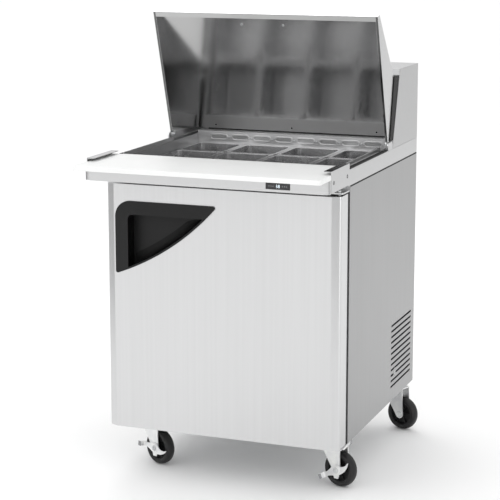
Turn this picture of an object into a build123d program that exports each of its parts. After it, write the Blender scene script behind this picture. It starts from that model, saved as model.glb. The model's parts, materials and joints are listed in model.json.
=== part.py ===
"""Sandwich prep table: a one-door refrigerated base on casters with a topping rail of twelve pans.

Frame: +Z up, +Y towards the back, +X to the user's right when facing the door.
The origin is on the floor under the centre of the bounding box. Millimetres.
"""
import math
import os

from build123d import *

os.makedirs("parts", exist_ok=True)

# ---- driving dimensions ------------------------------------------------------------------
HALF_TOP = 349.25           # apron, board ends and board brackets, half of 27.5 in
HALF_BODY = 345.0           # side panels, top rail and hood
FRONT_Y = -469.5            # front edge of the cutting board
BACK_Y = 469.5              # back of the cabinet and the hood
CABINET_FRONT = -203.5      # plane of the door opening
BASE_Z = 148.0              # underside of the cabinet
RAIL_BOTTOM = 868.6
RAIL_TOP = 913.0
SHEET = 1.2                 # gauge of the outer panels
HEAVY = 1.5                 # gauge of the top rail, the apron and the hood

# door
DOOR_HALF = 343.0
DOOR_FRONT = -281.5
DOOR_BACK = -215.5
DOOR_BOTTOM = 148.5
DOOR_TOP = 848.5
BEVEL_WIDE = 25.0
BEVEL_DEEP = 11.5
HINGE = (330.0, -248.5)
OPENING_HALF = 300.0
OPENING_BOTTOM = 205.0
OPENING_TOP = 800.0

# handle cup, outline in the (x, z) plane of the door face
HANDLE_LEFT = -313.0
HANDLE_TOP = 802.0
HANDLE_TIP_X = -7.0
HANDLE_BOTTOM = 594.0
HANDLE_BOW = 24.0           # rise of the curved edge over its chord
HANDLE_CORNER = 45.0
HANDLE_BAND = 38.0
HANDLE_RIM = 5.0
HANDLE_DEPTH = 40.0
HANDLE_PROUD = 3.0

# refrigerated space
LINER_HALF = 318.5
LINER_FRONT = -191.0
LINER_FLOOR = 196.0
STEP_Y = 183.0              # front of the machine compartment's housing
STEP_Z = 410.0              # top of the machine compartment's housing
LINER_BACK = 440.0
MACHINE_FRONT = 200.0
MACHINE_TOP = 400.0

# topping rail
PAN_COLUMNS = 4
PAN_ROWS = 3
COLUMN_PITCH = 158.75
ROW_PITCH = 176.2
WELL_FRONT = -202.3
WELL_BACK = WELL_FRONT + PAN_ROWS * ROW_PITCH
LEDGE_Z = 883.0
PAN_RIM = (157.6, 175.0)
PAN_MOUTH = (139.0, 156.4)
PAN_DEPTH = 100.0
PAN_WALL = 1.0
PAN_TAPER = 3.0

# cutting board, apron and brackets
APRON_FRONT = -395.5
APRON_BOTTOM = 872.7
APRON_TOP = 910.0
BOARD_BACK = -219.5
BOARD_THICK = 12.7
BRACKET_FRONT = -380.5
BRACKET_BACK = -223.5
BRACKET_TOP = 932.0

# lid, described closed and then turned open about its pivots
LID_HALF = 340.5
LID_WALL = 7.0
LID_PANEL = 8.0
LID_PIVOT = (176.5, 930.0)
LID_OPEN_ANGLE = 72.3
LID_RIM_Z = 922.0
LID_FRONT = -217.5
LID_LIP_TOP = 940.0
LID_REAR = (239.2, 1120.0)
LID_HEEL_Y = 165.5
LID_LIP_DEEP = 15.0

# hood
HOOD_TOP = 1139.5
HOOD_FRONT = 265.5
HOOD_LIP = 18.0
HOOD_SIDE = [(205.0, 913.2), (208.5, 931.0), (271.5, 1139.5), (BACK_Y, 1139.5), (BACK_Y, 913.2)]

# casters
WHEEL_R = 50.8
WHEEL_WIDE = 29.0
TRAIL = 32.0
AXLE_R = 4.0
KING_R = 6.0
RUNNING = 0.06              # radial clearance of every turning fit
CAM_BEHIND = 178.0          # the brake lever's cam arm, behind its pedal arm in degrees
# name: swivel x, swivel y, heading of the trail in degrees, brake lever angle or None
CASTERS = {
    "front_right": (276.0, -127.0, -20.0, 208.0),
    "front_left": (-276.0, -127.0, -25.0, 174.0),
    "rear_right": (297.0, 438.0, -19.0, None),
    "rear_left": (-297.0, 438.0, 199.0, None),
}


# ---- helpers -----------------------------------------------------------------------------
def block(x0, x1, y0, y1, z0, z1):
    """A rectangular block between two corners."""
    centre = Pos((x0 + x1) / 2, (y0 + y1) / 2, (z0 + z1) / 2)
    return centre * Box(abs(x1 - x0), abs(y1 - y0), abs(z1 - z0))


def mirrored(x0, x1, y0, y1, z0, z1):
    """The same block on the right and on the left."""
    return [block(x0, x1, y0, y1, z0, z1), block(-x1, -x0, y0, y1, z0, z1)]


def slab_x(outline, x0, x1):
    """A (y, z) outline drawn out from x0 to x1."""
    plane = Plane(origin=(x0, 0, 0), x_dir=(0, 1, 0), z_dir=(1, 0, 0))
    return extrude(plane * make_face(Polyline(*outline, close=True)), x1 - x0)


def slab_z(outline, z0, z1):
    """An (x, y) outline drawn out from z0 to z1."""
    return Pos(0, 0, z0) * extrude(make_face(Polyline(*outline, close=True)), z1 - z0)


def slab_y(sketch, y0, y1):
    """An (x, z) sketch drawn out from y0 to y1."""
    plane = Plane(origin=(0, y1, 0), x_dir=(1, 0, 0), z_dir=(0, -1, 0))
    return extrude(plane * sketch, y1 - y0)


def rod(start, end, radius):
    """A round bar between two points."""
    a = Vector(*start)
    b = Vector(*end)
    direction = b - a
    plane = Plane(origin=a, z_dir=direction)
    return extrude(plane * Circle(radius), direction.length)


def tube(points, radii, radius):
    """A round tube along straight runs joined by arcs."""
    path = FilletPolyline(*points, radius=radii)
    section = Plane(origin=path @ 0, z_dir=path % 0) * Circle(radius)
    return sweep(section, path=path)


def joined(pieces):
    """One solid from a list of touching pieces."""
    whole = pieces[0]
    for piece in pieces[1:]:
        whole += piece
    return whole


def without(body, cutters):
    """A body with every cutter taken away."""
    for cutter in cutters:
        body -= cutter
    return body


def save(name, pieces):
    """Write one node from its separate solids."""
    solids = []
    for piece in pieces:
        solids += piece.solids()
    whole = Compound(children=solids) if len(solids) > 1 else solids[0]
    export_step(whole, f"parts/{name}.step")


# ---- cabinet shell -----------------------------------------------------------------------
def side_panel(side):
    """Side panel with its front, bottom and rear returns; side is +1 on the right."""
    inner = HALF_BODY - SHEET
    panel = joined([
        block(inner, HALF_BODY, CABINET_FRONT, BACK_Y, BASE_Z, RAIL_BOTTOM - 0.6),
        block(inner - 20, inner, CABINET_FRONT, CABINET_FRONT + SHEET, BASE_Z, RAIL_BOTTOM - 0.6),
        block(inner - 14, inner, CABINET_FRONT, BACK_Y, BASE_Z, BASE_Z + SHEET),
        block(inner - 14, inner, BACK_Y - SHEET, BACK_Y, BASE_Z, RAIL_BOTTOM - 0.6),
    ])
    return panel if side > 0 else mirror(panel, about=Plane.YZ)


LOUVRE_ROWS = 12
LOUVRE_PITCH = 17.0
LOUVRE_FRONT = 221.0
LOUVRE_BACK = 434.0
LOUVRE_BOTTOM = 188.0
LOUVRE_SLOT = 7.0
LOUVRE_BOSS = (262.0, 229.0)


def louvred_panel():
    """Right side panel: long horizontal slots into the machine compartment, one fixing boss."""
    panel = side_panel(+1)
    inner = HALF_BODY - SHEET
    boss = Plane(origin=(inner - 1, *LOUVRE_BOSS), x_dir=(0, 1, 0), z_dir=(1, 0, 0)) * Circle(13)
    keep = extrude(boss, SHEET + 2)
    for row in range(LOUVRE_ROWS):
        z = LOUVRE_BOTTOM + row * LOUVRE_PITCH
        slot = block(inner - 1, HALF_BODY + 1, LOUVRE_FRONT, LOUVRE_BACK, z, z + LOUVRE_SLOT)
        panel -= slot - keep
    return panel


def back_panel():
    """Rear sheet with vertical air slots behind the machine compartment and a cord inlet hole."""
    inner = HALF_BODY - SHEET - 0.1
    top = RAIL_BOTTOM - 0.6
    panel = block(-inner, inner, BACK_Y - 2 * SHEET, BACK_Y - SHEET, BASE_Z + SHEET, top)
    slots = []
    for column in range(16):
        x = -180 + column * 30
        slots.append(block(x - 5, x + 5, BACK_Y - 5, BACK_Y + 1, 190, 370))
    inlet = rod((-285, BACK_Y - 6, 250), (-285, BACK_Y + 1, 250), 12.0)
    return without(panel, slots + [inlet])


def base_panel():
    """Floor pan of the cabinet with a stiffening flange at the front."""
    inner = HALF_BODY - SHEET - 0.1
    rear = BACK_Y - 2 * SHEET
    floor = block(-inner, inner, CABINET_FRONT + SHEET, rear, BASE_Z + SHEET, BASE_Z + 2 * SHEET)
    front = block(-322.6, 322.6, CABINET_FRONT, CABINET_FRONT + SHEET, BASE_Z, BASE_Z + 2 * SHEET)
    return floor + front


LINER_PROFILE = [
    (LINER_FRONT, LINER_FLOOR),
    (STEP_Y, LINER_FLOOR),
    (STEP_Y, STEP_Z),
    (LINER_BACK, STEP_Z),
    (LINER_BACK, RAIL_BOTTOM),
    (LINER_FRONT, RAIL_BOTTOM),
]


def grown(outline, by):
    """The liner outline pushed out by a wall thickness at the floor, the step and the back."""
    (y0, z0), (y1, _), (_, z2), (y3, _), (_, z4), _ = outline
    return [
        (y0, z0 - by),
        (y1 + by, z0 - by),
        (y1 + by, z2 - by),
        (y3 + by, z2 - by),
        (y3 + by, z4),
        (y0, z4),
    ]


LINER_WALL = 1.0


def inner_liner():
    """Lining of the refrigerated space, open at the front and at the top."""
    outside = slab_x(grown(LINER_PROFILE, LINER_WALL), -LINER_HALF - LINER_WALL, LINER_HALF + LINER_WALL)
    inside = slab_x(LINER_PROFILE, -LINER_HALF, LINER_HALF)
    shell = outside - inside
    holes = [rod((0, STEP_Y - 30, LINER_FLOOR - 3), (0, STEP_Y - 30, LINER_FLOOR + 3), 10)]
    for x, radius in LINES.values():
        holes.append(rod((x, LINER_BACK - 20, 707), (x, LINER_BACK + 20, 707), radius + 5))
    return without(shell, holes)


def line_route(x):
    """A pair of refrigerant lines leaves the compressor for the evaporator at this x."""
    return [(x, 318, 330), (x, 318, 372), (x, 452, 378), (x, 452, 700), (x, 426, 712)]


LINE_RADII = [16, 16, 12]
LINES = {"suction": (-210.0, 5.0), "liquid": (-150.0, 3.2)}


def insulation():
    """Foam between the liner and the outer panels, cut away for the machine compartment."""
    wall = HALF_BODY - SHEET - 0.2
    rear = BACK_Y - 2 * SHEET - 0.1
    floor = BASE_Z + 2 * SHEET + 0.1
    foam = block(-wall, wall, LINER_FRONT, rear, floor, RAIL_BOTTOM - 0.6)
    gap = LINER_WALL + 0.1
    foam -= slab_x(grown(LINER_PROFILE, gap), -LINER_HALF - gap, LINER_HALF + gap)
    foam -= block(-wall - 1, wall + 1, MACHINE_FRONT, rear + 1, floor - 1, MACHINE_TOP)
    for x, radius in LINES.values():
        room = radius + 7
        foam -= block(x - room, x + room, LINER_BACK + 1, rear + 1, MACHINE_TOP - 1, 740)
    return foam


def throat_frame():
    """Moulded breaker frame round the door opening."""
    top = RAIL_BOTTOM - 0.8
    frame = block(-322.6, 322.6, CABINET_FRONT + 0.1, LINER_FRONT - 3, BASE_Z + 3 * SHEET, top)
    hole = block(-OPENING_HALF, OPENING_HALF, CABINET_FRONT - 5, LINER_FRONT + 5, OPENING_BOTTOM, OPENING_TOP)
    cut = frame - hole
    corners = [e for e in cut.edges().filter_by(Axis.Y) if abs(e.center().X) < OPENING_HALF + 1]
    inner = [e for e in corners if OPENING_BOTTOM - 1 < e.center().Z < OPENING_TOP + 1]
    return fillet(inner, 12)


# ---- topping rail ------------------------------------------------------------------------
RAIL_FRONT = -218.0
FRONT_LIP_TOP = 920.5
INNER_FLANGE = (321.0, 324.0)
FLANGE_TOP = 924.5
GASKET_TOP = 920.0
SIDE_FLANGE_BACK = 146.0


def top_rail():
    """Ring of folded steel round the pans, open underneath, with a ledge for the front pans."""
    back = DUCT_Y + HEAVY + 0.2
    ring = block(-HALF_BODY, HALF_BODY, RAIL_FRONT, BACK_Y, RAIL_BOTTOM, RAIL_TOP)
    ring += block(-LINER_HALF, LINER_HALF, RAIL_FRONT, WELL_FRONT - 0.2, RAIL_BOTTOM, FRONT_LIP_TOP)
    ring -= block(-LINER_HALF, LINER_HALF, WELL_FRONT - 0.2, back, RAIL_BOTTOM - 1, RAIL_TOP + 20)
    under = RAIL_BOTTOM - 1
    roof = RAIL_TOP - HEAVY
    hollow = HALF_BODY - HEAVY
    ring -= block(LINER_HALF + HEAVY, hollow, RAIL_FRONT + HEAVY, BACK_Y - HEAVY, under, roof)
    ring -= block(-hollow, -LINER_HALF - HEAVY, RAIL_FRONT + HEAVY, BACK_Y - HEAVY, under, roof)
    ring -= block(-hollow, hollow, back + HEAVY, BACK_Y - HEAVY, under, roof)
    ring -= block(-hollow, hollow, RAIL_FRONT + HEAVY, WELL_FRONT - 0.2 - HEAVY, under, roof)
    for sign in (-1, 1):
        x0, x1 = sorted((sign * INNER_FLANGE[0], sign * INNER_FLANGE[1]))
        ring += block(x0, x1, WELL_FRONT, SIDE_FLANGE_BACK, RAIL_TOP - 1, FLANGE_TOP)
    ledge_back = WELL_FRONT + 6
    ring += block(-LINER_HALF, LINER_HALF, WELL_FRONT - 1, ledge_back, LEDGE_Z - 3, LEDGE_Z)
    ring -= block(-hollow + 60, hollow - 60, back + 20, BACK_Y - 20, roof - 1, RAIL_TOP + 1)
    return ring


def rail_gaskets():
    """Rubber strips on the side rails that the closed lid rests on."""
    return mirrored(327.0, 344.4, WELL_FRONT, SIDE_FLANGE_BACK, RAIL_TOP, GASKET_TOP)


SLOT_PITCH = 71.0
SLOT_Z = 904.0
DUCT_Y = WELL_BACK + 2.0      # clears the rear pans' rims as they lift past the raised slots
DUCT_TOP = 922.0
DUCT_BACK = 388.5
FAN_Z = 540.0


def air_duct():
    """Cold-air plenum: a tall front sheet with raised slots above the pans and a top flange."""
    sheet = block(-LINER_HALF + 0.3, LINER_HALF - 0.3, DUCT_Y, DUCT_Y + HEAVY, STEP_Z + 0.3, DUCT_TOP)
    flange = block(-317.0, 317.0, DUCT_Y, DUCT_BACK, DUCT_TOP - HEAVY, DUCT_TOP)
    duct = sheet + flange
    for index in range(8):
        x = (index - 3.5) * SLOT_PITCH
        raised = slab_y(Pos(x, SLOT_Z) * SlotOverall(60, 20), DUCT_Y - 0.1 - HEAVY, DUCT_Y + 0.5)
        through = slab_y(Pos(x, SLOT_Z) * SlotOverall(50, 11), DUCT_Y - 5, DUCT_Y + 5)
        duct = duct + raised - through
    intake = slab_y(Pos(0, FAN_Z) * Circle(98), DUCT_Y - 5, DUCT_Y + 5)
    returns = []
    for row in range(4):
        for side in (-1, 1):
            spot = Pos(side * 210, 470 + row * 40) * SlotOverall(120, 14)
            returns.append(slab_y(spot, DUCT_Y - 5, DUCT_Y + 5))
    return without(duct, [intake] + returns)


def pan_bars():
    """Cross bars that carry the pan rims: two between rows and one at the back."""
    bars = []
    for row in range(1, PAN_ROWS + 1):
        y = WELL_FRONT + row * ROW_PITCH
        front = y - 6
        back = y + 6 if row < PAN_ROWS else DUCT_Y - 0.1
        flat = block(-LINER_HALF + 0.2, LINER_HALF - 0.2, front, back, LEDGE_Z - 3, LEDGE_Z)
        web_y = y - 1 if row < PAN_ROWS else back - 2
        web = block(-LINER_HALF + 0.2, LINER_HALF - 0.2, web_y, web_y + 2, LEDGE_Z - 22, LEDGE_Z - 2)
        bars.append(flat + web)
    return bars


def pan():
    """One sixth-size pan with a rolled rim, hanging from z = 0 at the underside of its rim."""
    rim = Pos(0, 0, 0) * extrude(RectangleRounded(*PAN_RIM, 16), 2.2)
    rim = fillet(rim.faces().sort_by(Axis.Z)[-1].outer_wire().edges(), 1.5)
    body = extrude(RectangleRounded(*PAN_MOUTH, 20), -PAN_DEPTH, taper=PAN_TAPER)
    body = fillet(body.faces().sort_by(Axis.Z)[0].outer_wire().edges(), 10)
    mouth = (PAN_MOUTH[0] - 2 * PAN_WALL, PAN_MOUTH[1] - 2 * PAN_WALL)
    bowl = extrude(RectangleRounded(*mouth, 19), -(PAN_DEPTH - PAN_WALL), taper=PAN_TAPER)
    bowl = fillet(bowl.faces().sort_by(Axis.Z)[0].outer_wire().edges(), 9)
    neck = extrude(RectangleRounded(*mouth, 19), 5)
    return rim + body - bowl - neck


def pan_place(row, column):
    """Centre of a pan's rim; row 0 is at the front, column 0 on the left."""
    x = (column - (PAN_COLUMNS - 1) / 2) * COLUMN_PITCH
    y = WELL_FRONT + (row + 0.5) * ROW_PITCH
    return Pos(x, y, LEDGE_Z + 0.05)


# ---- apron, board and brackets ----------------------------------------------------------
DISPLAY = (175.0, 242.0, 880.0, 897.0)
CHEEK_BACK = BRACKET_FRONT - 0.5
APRON_HALF = 347.3


def front_apron():
    """Box under the cutting board: bevelled front ends, a window for the temperature display."""
    back = RAIL_FRONT - 0.3
    outline = [
        (-HALF_TOP, CHEEK_BACK),
        (-HALF_TOP, APRON_FRONT + 7),
        (-HALF_TOP + 18, APRON_FRONT),
        (HALF_TOP - 18, APRON_FRONT),
        (HALF_TOP, APRON_FRONT + 7),
        (HALF_TOP, CHEEK_BACK),
    ]
    box = slab_z(outline, APRON_BOTTOM, APRON_TOP)
    box += block(-APRON_HALF, APRON_HALF, CHEEK_BACK - 1, back, APRON_BOTTOM, APRON_TOP)
    low = APRON_BOTTOM + HEAVY
    high = APRON_TOP - HEAVY
    inside = APRON_HALF - HEAVY
    box -= block(-inside, inside, APRON_FRONT + 7 + HEAVY, back + 1, low, high)
    box -= block(-HALF_TOP + 22, HALF_TOP - 22, APRON_FRONT + HEAVY, APRON_FRONT + 10, low, high)
    x0, x1, z0, z1 = DISPLAY
    window = block(x0, x1, APRON_FRONT - 1, APRON_FRONT + 5, z0, z1)
    taps = [rod((-350, y, z), (350, y, z), 1.95) for y, z in SCREW_SPOTS]
    return without(box, [window] + taps)


def control_display():
    """Temperature display: a housing behind the apron's window and its lens."""
    x0, x1, z0, z1 = DISPLAY
    front = APRON_FRONT - 0.8
    housing = block(x0 - 3, x1 + 3, APRON_FRONT + HEAVY + 0.1, APRON_FRONT + 24, z0 - 2.5, z1 + 3)
    housing += block(x0 + 0.2, x1 - 0.2, front, APRON_FRONT + HEAVY + 1, z0 + 0.2, z1 - 0.2)
    pocket = block(x0 + 3, x1 - 3, front - 1, front + 1.2, z0 + 3, z1 - 3)
    lens = block(x0 + 3.05, x1 - 3.05, front + 0.2, front + 1.15, z0 + 3.05, z1 - 3.05)
    return [housing - pocket, lens]


def cutting_board():
    """White board, notched at the sides where the brackets hold it."""
    wide = block(-HALF_TOP, HALF_TOP, FRONT_Y, CHEEK_BACK - 0.5, APRON_TOP, APRON_TOP + BOARD_THICK)
    narrow = block(-346.6, 346.6, CHEEK_BACK - 1, BOARD_BACK, APRON_TOP, APRON_TOP + BOARD_THICK)
    board = wide + narrow
    front_corners = board.edges().filter_by(Axis.Z).sort_by(Axis.Y)[0:2]
    board = fillet(front_corners, 7)
    tops = board.faces().sort_by(Axis.Z)[-1].outer_wire().edges()
    return fillet(tops, 1.6)


SCREW_SPOTS = [(-358.0, 900.0), (-243.0, 900.0)]


def board_brackets():
    """Side plates that hold the board down with a flange turned in over it."""
    pieces = []
    for sign in (-1, 1):
        inner = 347.6
        plate = block(inner, HALF_TOP, BRACKET_FRONT, BRACKET_BACK, 888.0, BRACKET_TOP)
        flange = block(327.0, HALF_TOP, BRACKET_FRONT, BRACKET_BACK, BRACKET_TOP - HEAVY, BRACKET_TOP)
        piece = plate + flange
        corners = [e for e in piece.edges().filter_by(Axis.Z) if e.center().X < 328]
        piece = fillet(corners, 6)
        piece = without(piece, [rod((346, y, z), (350, y, z), 3.25) for y, z in SCREW_SPOTS])
        pieces.append(piece if sign > 0 else mirror(piece, about=Plane.YZ))
    return pieces


def screws():
    """Pan-head screws on the brackets, the duct and the side panel."""
    heads = []
    for y, z in SCREW_SPOTS:
        for sign in (-1, 1):
            x0 = sign * (HALF_TOP - 1.4)
            shank = rod((sign * 345.9, y, z), (x0, y, z), 1.9)
            heads.append(shank + rod((x0, y, z), (sign * (HALF_TOP - 0.1), y, z), 3.2))
    for index in range(7):
        x = (index - 3) * SLOT_PITCH
        heads.append(rod((x, DUCT_Y - 2.2, SLOT_Z), (x, DUCT_Y, SLOT_Z), 3.4))
    y, z = LOUVRE_BOSS
    heads.append(rod((HALF_BODY, y, z), (HALF_BODY + 1.6, y, z), 4.2))
    return heads


# ---- hood --------------------------------------------------------------------------------
def hood_shell():
    """Fixed cover behind the lid: top with a turned-down lip, two sides and a back."""
    outside = slab_x(HOOD_SIDE, -HALF_BODY, HALF_BODY)
    inside_outline = [(y, z) for y, z in HOOD_SIDE]
    inside_outline[0] = (HOOD_SIDE[0][0] - 40, HOOD_SIDE[0][1] - 1)
    inside_outline[1] = (HOOD_SIDE[1][0] - 40, HOOD_SIDE[1][1])
    inside_outline[2] = (HOOD_SIDE[2][0] - 40, HOOD_TOP - HEAVY)
    inside_outline[3] = (BACK_Y - HEAVY, HOOD_TOP - HEAVY)
    inside_outline[4] = (BACK_Y - HEAVY, HOOD_SIDE[4][1] - 1)
    half = HALF_BODY - HEAVY
    shell = outside - slab_x(inside_outline, -half, half)
    shell += block(-HALF_BODY, HALF_BODY, HOOD_FRONT, 280.0, HOOD_TOP - HEAVY, HOOD_TOP)
    lip_low = HOOD_TOP - HOOD_LIP
    shell += block(-HALF_BODY, HALF_BODY, HOOD_FRONT, HOOD_FRONT + HEAVY, lip_low, HOOD_TOP)
    return shell


def lid_rubbers():
    """Black side strips between the lid and the hood, and the bumper that the open lid leans on."""
    strip = [(180.0, 937.0), (218.5, 1125.0), (266.0, 1120.5), (210.1, 937.0)]
    side = slab_x(strip, 341.4, 343.4)
    bumper = block(-300, 300, 368.0, 384.0, DUCT_TOP, DUCT_TOP + 2.8)
    return [side, mirror(side, about=Plane.YZ), bumper]


# ---- lid ---------------------------------------------------------------------------------
def lid_outline(skin, front_gap):
    """Closed side profile of the lid, its top lowered by skin and its front set back."""
    rise = (LID_REAR[1] - LID_LIP_TOP) / (LID_REAR[0] - LID_FRONT)
    drop = skin * math.hypot(1, rise)
    front = LID_FRONT + front_gap
    return [
        (front, LID_RIM_Z),
        (front, LID_LIP_TOP + front_gap * rise - drop),
        (LID_REAR[0], LID_REAR[1] - drop),
        (LID_HEEL_Y, LID_RIM_Z),
    ]


def opened(piece):
    """Turn a piece of the closed lid to its open place."""
    pivot = Pos(0, *LID_PIVOT)
    return pivot * Rot(-LID_OPEN_ANGLE, 0, 0) * Pos(0, -LID_PIVOT[0], -LID_PIVOT[1]) * piece


def beyond(outline):
    """The same profile carried past its rim and its rear edge, to cut an open hollow."""
    (y0, z0), top_front, top_rear, (y3, z3) = outline
    slope = (top_rear[1] - top_front[1]) / (top_rear[0] - top_front[0])
    reach = 60.0
    return [
        (y0, z0 - 20),
        top_front,
        (top_rear[0] + reach, top_rear[1] + reach * slope),
        (y3 + reach, z3 - 20),
    ]


def lid_shell():
    """Outer skin: sloping top, front lip and side walls, with ears for the pivots."""
    skin = SHEET
    shell = slab_x(lid_outline(0, 0), -LID_HALF, LID_HALF)
    half = LID_HALF - skin
    shell -= slab_x(beyond(lid_outline(skin, skin)), -half, half)
    for sign in (-1, 1):
        ear = Plane(origin=(sign * half, *LID_PIVOT), x_dir=(0, 1, 0), z_dir=(sign, 0, 0)) * Circle(14)
        shell += extrude(ear, skin)
    for sign in (-1, 1):
        shell -= rod((sign * 320, *LID_PIVOT), (sign * 350, *LID_PIVOT), 4.0)
    return shell


def lid_liner():
    """Polished inner skin with flanges that close the gap to the outer skin at every edge."""
    wall = 1.0
    outer_half = LID_HALF - SHEET - 0.1
    inner_half = LID_HALF - LID_WALL
    shell = slab_x(lid_outline(LID_PANEL - wall, LID_LIP_DEEP - wall), -inner_half - wall, inner_half + wall)
    hollow = slab_x(beyond(lid_outline(LID_PANEL, LID_LIP_DEEP)), -inner_half, inner_half)
    sheet = shell - hollow
    gap = slab_x(lid_outline(SHEET + 0.1, SHEET + 0.1), -outer_half, outer_half)
    gap -= hollow
    rim = gap & block(-400, 400, -400, 400, LID_RIM_Z - 1, LID_RIM_Z + wall)
    heel = Vector(0, LID_HEEL_Y, LID_RIM_Z)
    rear = Vector(0, *LID_REAR) - heel
    edge_plane = Plane(origin=heel, x_dir=(1, 0, 0), z_dir=Vector(0, -rear.Z, rear.Y))
    edge = gap & extrude(edge_plane * Rectangle(900, 900), 1.2)
    return sheet + rim + edge


def lid_pins():
    """Pivot pins pressed into the lid's ears and turning in the cabinet's brackets."""
    pins = []
    for sign in (-1, 1):
        pin = rod((sign * 336.0, *LID_PIVOT), (sign * 344.9, *LID_PIVOT), 4.0)
        head = rod((sign * 336.0, *LID_PIVOT), (sign * 339.2, *LID_PIVOT), 7.0)
        pins.append(pin + head)
    return pins


def hinge_brackets():
    """Lid pivot cheeks on the rail, and the door's top and bottom hinge plates."""
    pieces = []
    for sign in (-1, 1):
        x0, x1 = sorted((sign * 341.2, sign * 345.0))
        cheek = block(x0, x1, 157.0, 203.0, RAIL_TOP + 0.1, 936.0)
        cheek = fillet(cheek.edges().filter_by(Axis.X).sort_by(Axis.Z)[-2:], 10)
        cheek -= rod((sign * 330, *LID_PIVOT), (sign * 350, *LID_PIVOT), 4.0 + RUNNING)
        pieces.append(cheek)
    x, y = HINGE
    hole = rod((x, y, 100), (x, y, 900), 4.0 + RUNNING)
    top = block(298, 344, y - 14, CABINET_FRONT - 0.1, 853, 857)
    top += block(298, 344, CABINET_FRONT - 4, CABINET_FRONT - 0.1, 853, 867.5)
    bottom = block(298, 344, y - 14, -162, BASE_Z - 4.4, BASE_Z - 0.4)
    pieces.append(fillet(top.edges().filter_by(Axis.Z).sort_by(Axis.Y)[:2], 8) - hole)
    pieces.append(fillet(bottom.edges().filter_by(Axis.Z).sort_by(Axis.Y)[:2], 8) - hole)
    return pieces


# ---- door --------------------------------------------------------------------------------
def door_block(inset, back):
    """The door's outline, moved in by a gauge, from the front bevels to the given back plane."""
    half = DOOR_HALF - inset
    front = DOOR_FRONT + inset
    outline = [
        (-half, back),
        (-half, DOOR_FRONT + BEVEL_DEEP + inset * 0.3),
        (-DOOR_HALF + BEVEL_WIDE + inset * 0.3, front),
        (DOOR_HALF - BEVEL_WIDE - inset * 0.3, front),
        (half, DOOR_FRONT + BEVEL_DEEP + inset * 0.3),
        (half, back),
    ]
    solid = slab_z(outline, DOOR_BOTTOM + inset, DOOR_TOP - inset)
    edges = solid.edges().filter_by(Axis.Z).sort_by(Axis.Y)
    solid = fillet(edges[:2], 10 - inset)
    edges = solid.edges().filter_by(Axis.Z)
    shoulders = [e for e in edges if abs(abs(e.center().X) - half) < 0.01 and e.center().Y < back - 10]
    return fillet([e for e in shoulders if e.center().Y < DOOR_FRONT + BEVEL_DEEP + 2], 9 - inset)


def handle_outline():
    """Outer edge of the handle cup: square at the upper left, a long bowed edge opposite."""
    foot = Vector(HANDLE_LEFT, HANDLE_BOTTOM)
    tip = Vector(HANDLE_TIP_X, HANDLE_TOP)
    chord = tip - foot
    outward = Vector(chord.Y, -chord.X).normalized()
    bow = (foot + tip) * 0.5 + outward * HANDLE_BOW
    corner = Vector(HANDLE_LEFT, HANDLE_TOP)
    edge = Line(foot, corner) + Line(corner, tip) + ThreePointArc(tip, bow, foot)
    face = make_face(edge)
    square = face.vertices().sort_by_distance(Vector(HANDLE_LEFT, HANDLE_TOP, 0))[0]
    face = fillet(square, HANDLE_CORNER)
    tips = [v for v in face.vertices() if (Vector(v) - foot).length < 1 or (Vector(v) - tip).length < 1]
    return fillet(tips, 6)


def recess_outline():
    """Mouth of the finger recess inside the handle's bands and rim."""
    room = offset(handle_outline(), -HANDLE_RIM)
    left = HANDLE_LEFT + HANDLE_BAND
    top = HANDLE_TOP - HANDLE_BAND
    frame = Pos(left + 200, top - 200) * Rectangle(400, 400)
    mouth = room & frame
    square = mouth.vertices().sort_by_distance(Vector(left, top, 0))[0]
    return fillet(square, 14)


HANDLE_WALL = 2.5


def door_handle():
    """Moulded cup let into the door, with a raised border."""
    border = slab_y(handle_outline(), DOOR_FRONT - HANDLE_PROUD, DOOR_FRONT)
    mouth = recess_outline()
    outer = offset(mouth, HANDLE_WALL)
    floor_y = DOOR_FRONT + HANDLE_DEPTH
    cup = slab_y(outer, DOOR_FRONT, floor_y + HANDLE_WALL)
    return border + cup - slab_y(mouth, DOOR_FRONT - HANDLE_PROUD - 1, floor_y)


def handle_room(gap):
    """Space that the handle's cup takes inside the door."""
    outer = offset(recess_outline(), HANDLE_WALL + gap)
    return slab_y(outer, DOOR_FRONT - 1, DOOR_FRONT + HANDLE_DEPTH + HANDLE_WALL + gap)


PIN_HOLES = [(DOOR_BOTTOM - 2, DOOR_BOTTOM + 30), (DOOR_TOP - 30, DOOR_TOP + 2)]


def pin_room(radius):
    """Holes for the hinge pins in the top and the bottom of the door."""
    x, y = HINGE
    return [rod((x, y, low), (x, y, high), radius) for low, high in PIN_HOLES]


def door_skin():
    """Outer steel skin of the door, open at the back."""
    shell = door_block(0, DOOR_BACK) - door_block(SHEET, DOOR_BACK + 5)
    return without(shell, [handle_room(0.1)] + pin_room(4.0))


def door_core():
    """Foam inside the door."""
    foam = door_block(SHEET + 0.1, DOOR_BACK - 1.7)
    return without(foam, [handle_room(0.3)] + pin_room(4.1))


def door_liner():
    """Inner door panel, raised in the middle."""
    inset = SHEET + 0.1
    half = DOOR_HALF - inset
    low = DOOR_BOTTOM + inset
    high = DOOR_TOP - inset
    plate = block(-half, half, DOOR_BACK - 1.6, DOOR_BACK, low, high)
    dyke = block(-284, 284, DOOR_BACK, DOOR_BACK + 9, 222, 784)
    dyke = fillet(dyke.edges().filter_by(Axis.Y), 18)
    dyke = chamfer(dyke.faces().sort_by(Axis.Y)[-1].outer_wire().edges(), 6)
    hollow = block(-276, 276, DOOR_BACK - 2, DOOR_BACK + 7.5, 230, 776)
    return plate + dyke - hollow


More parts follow.
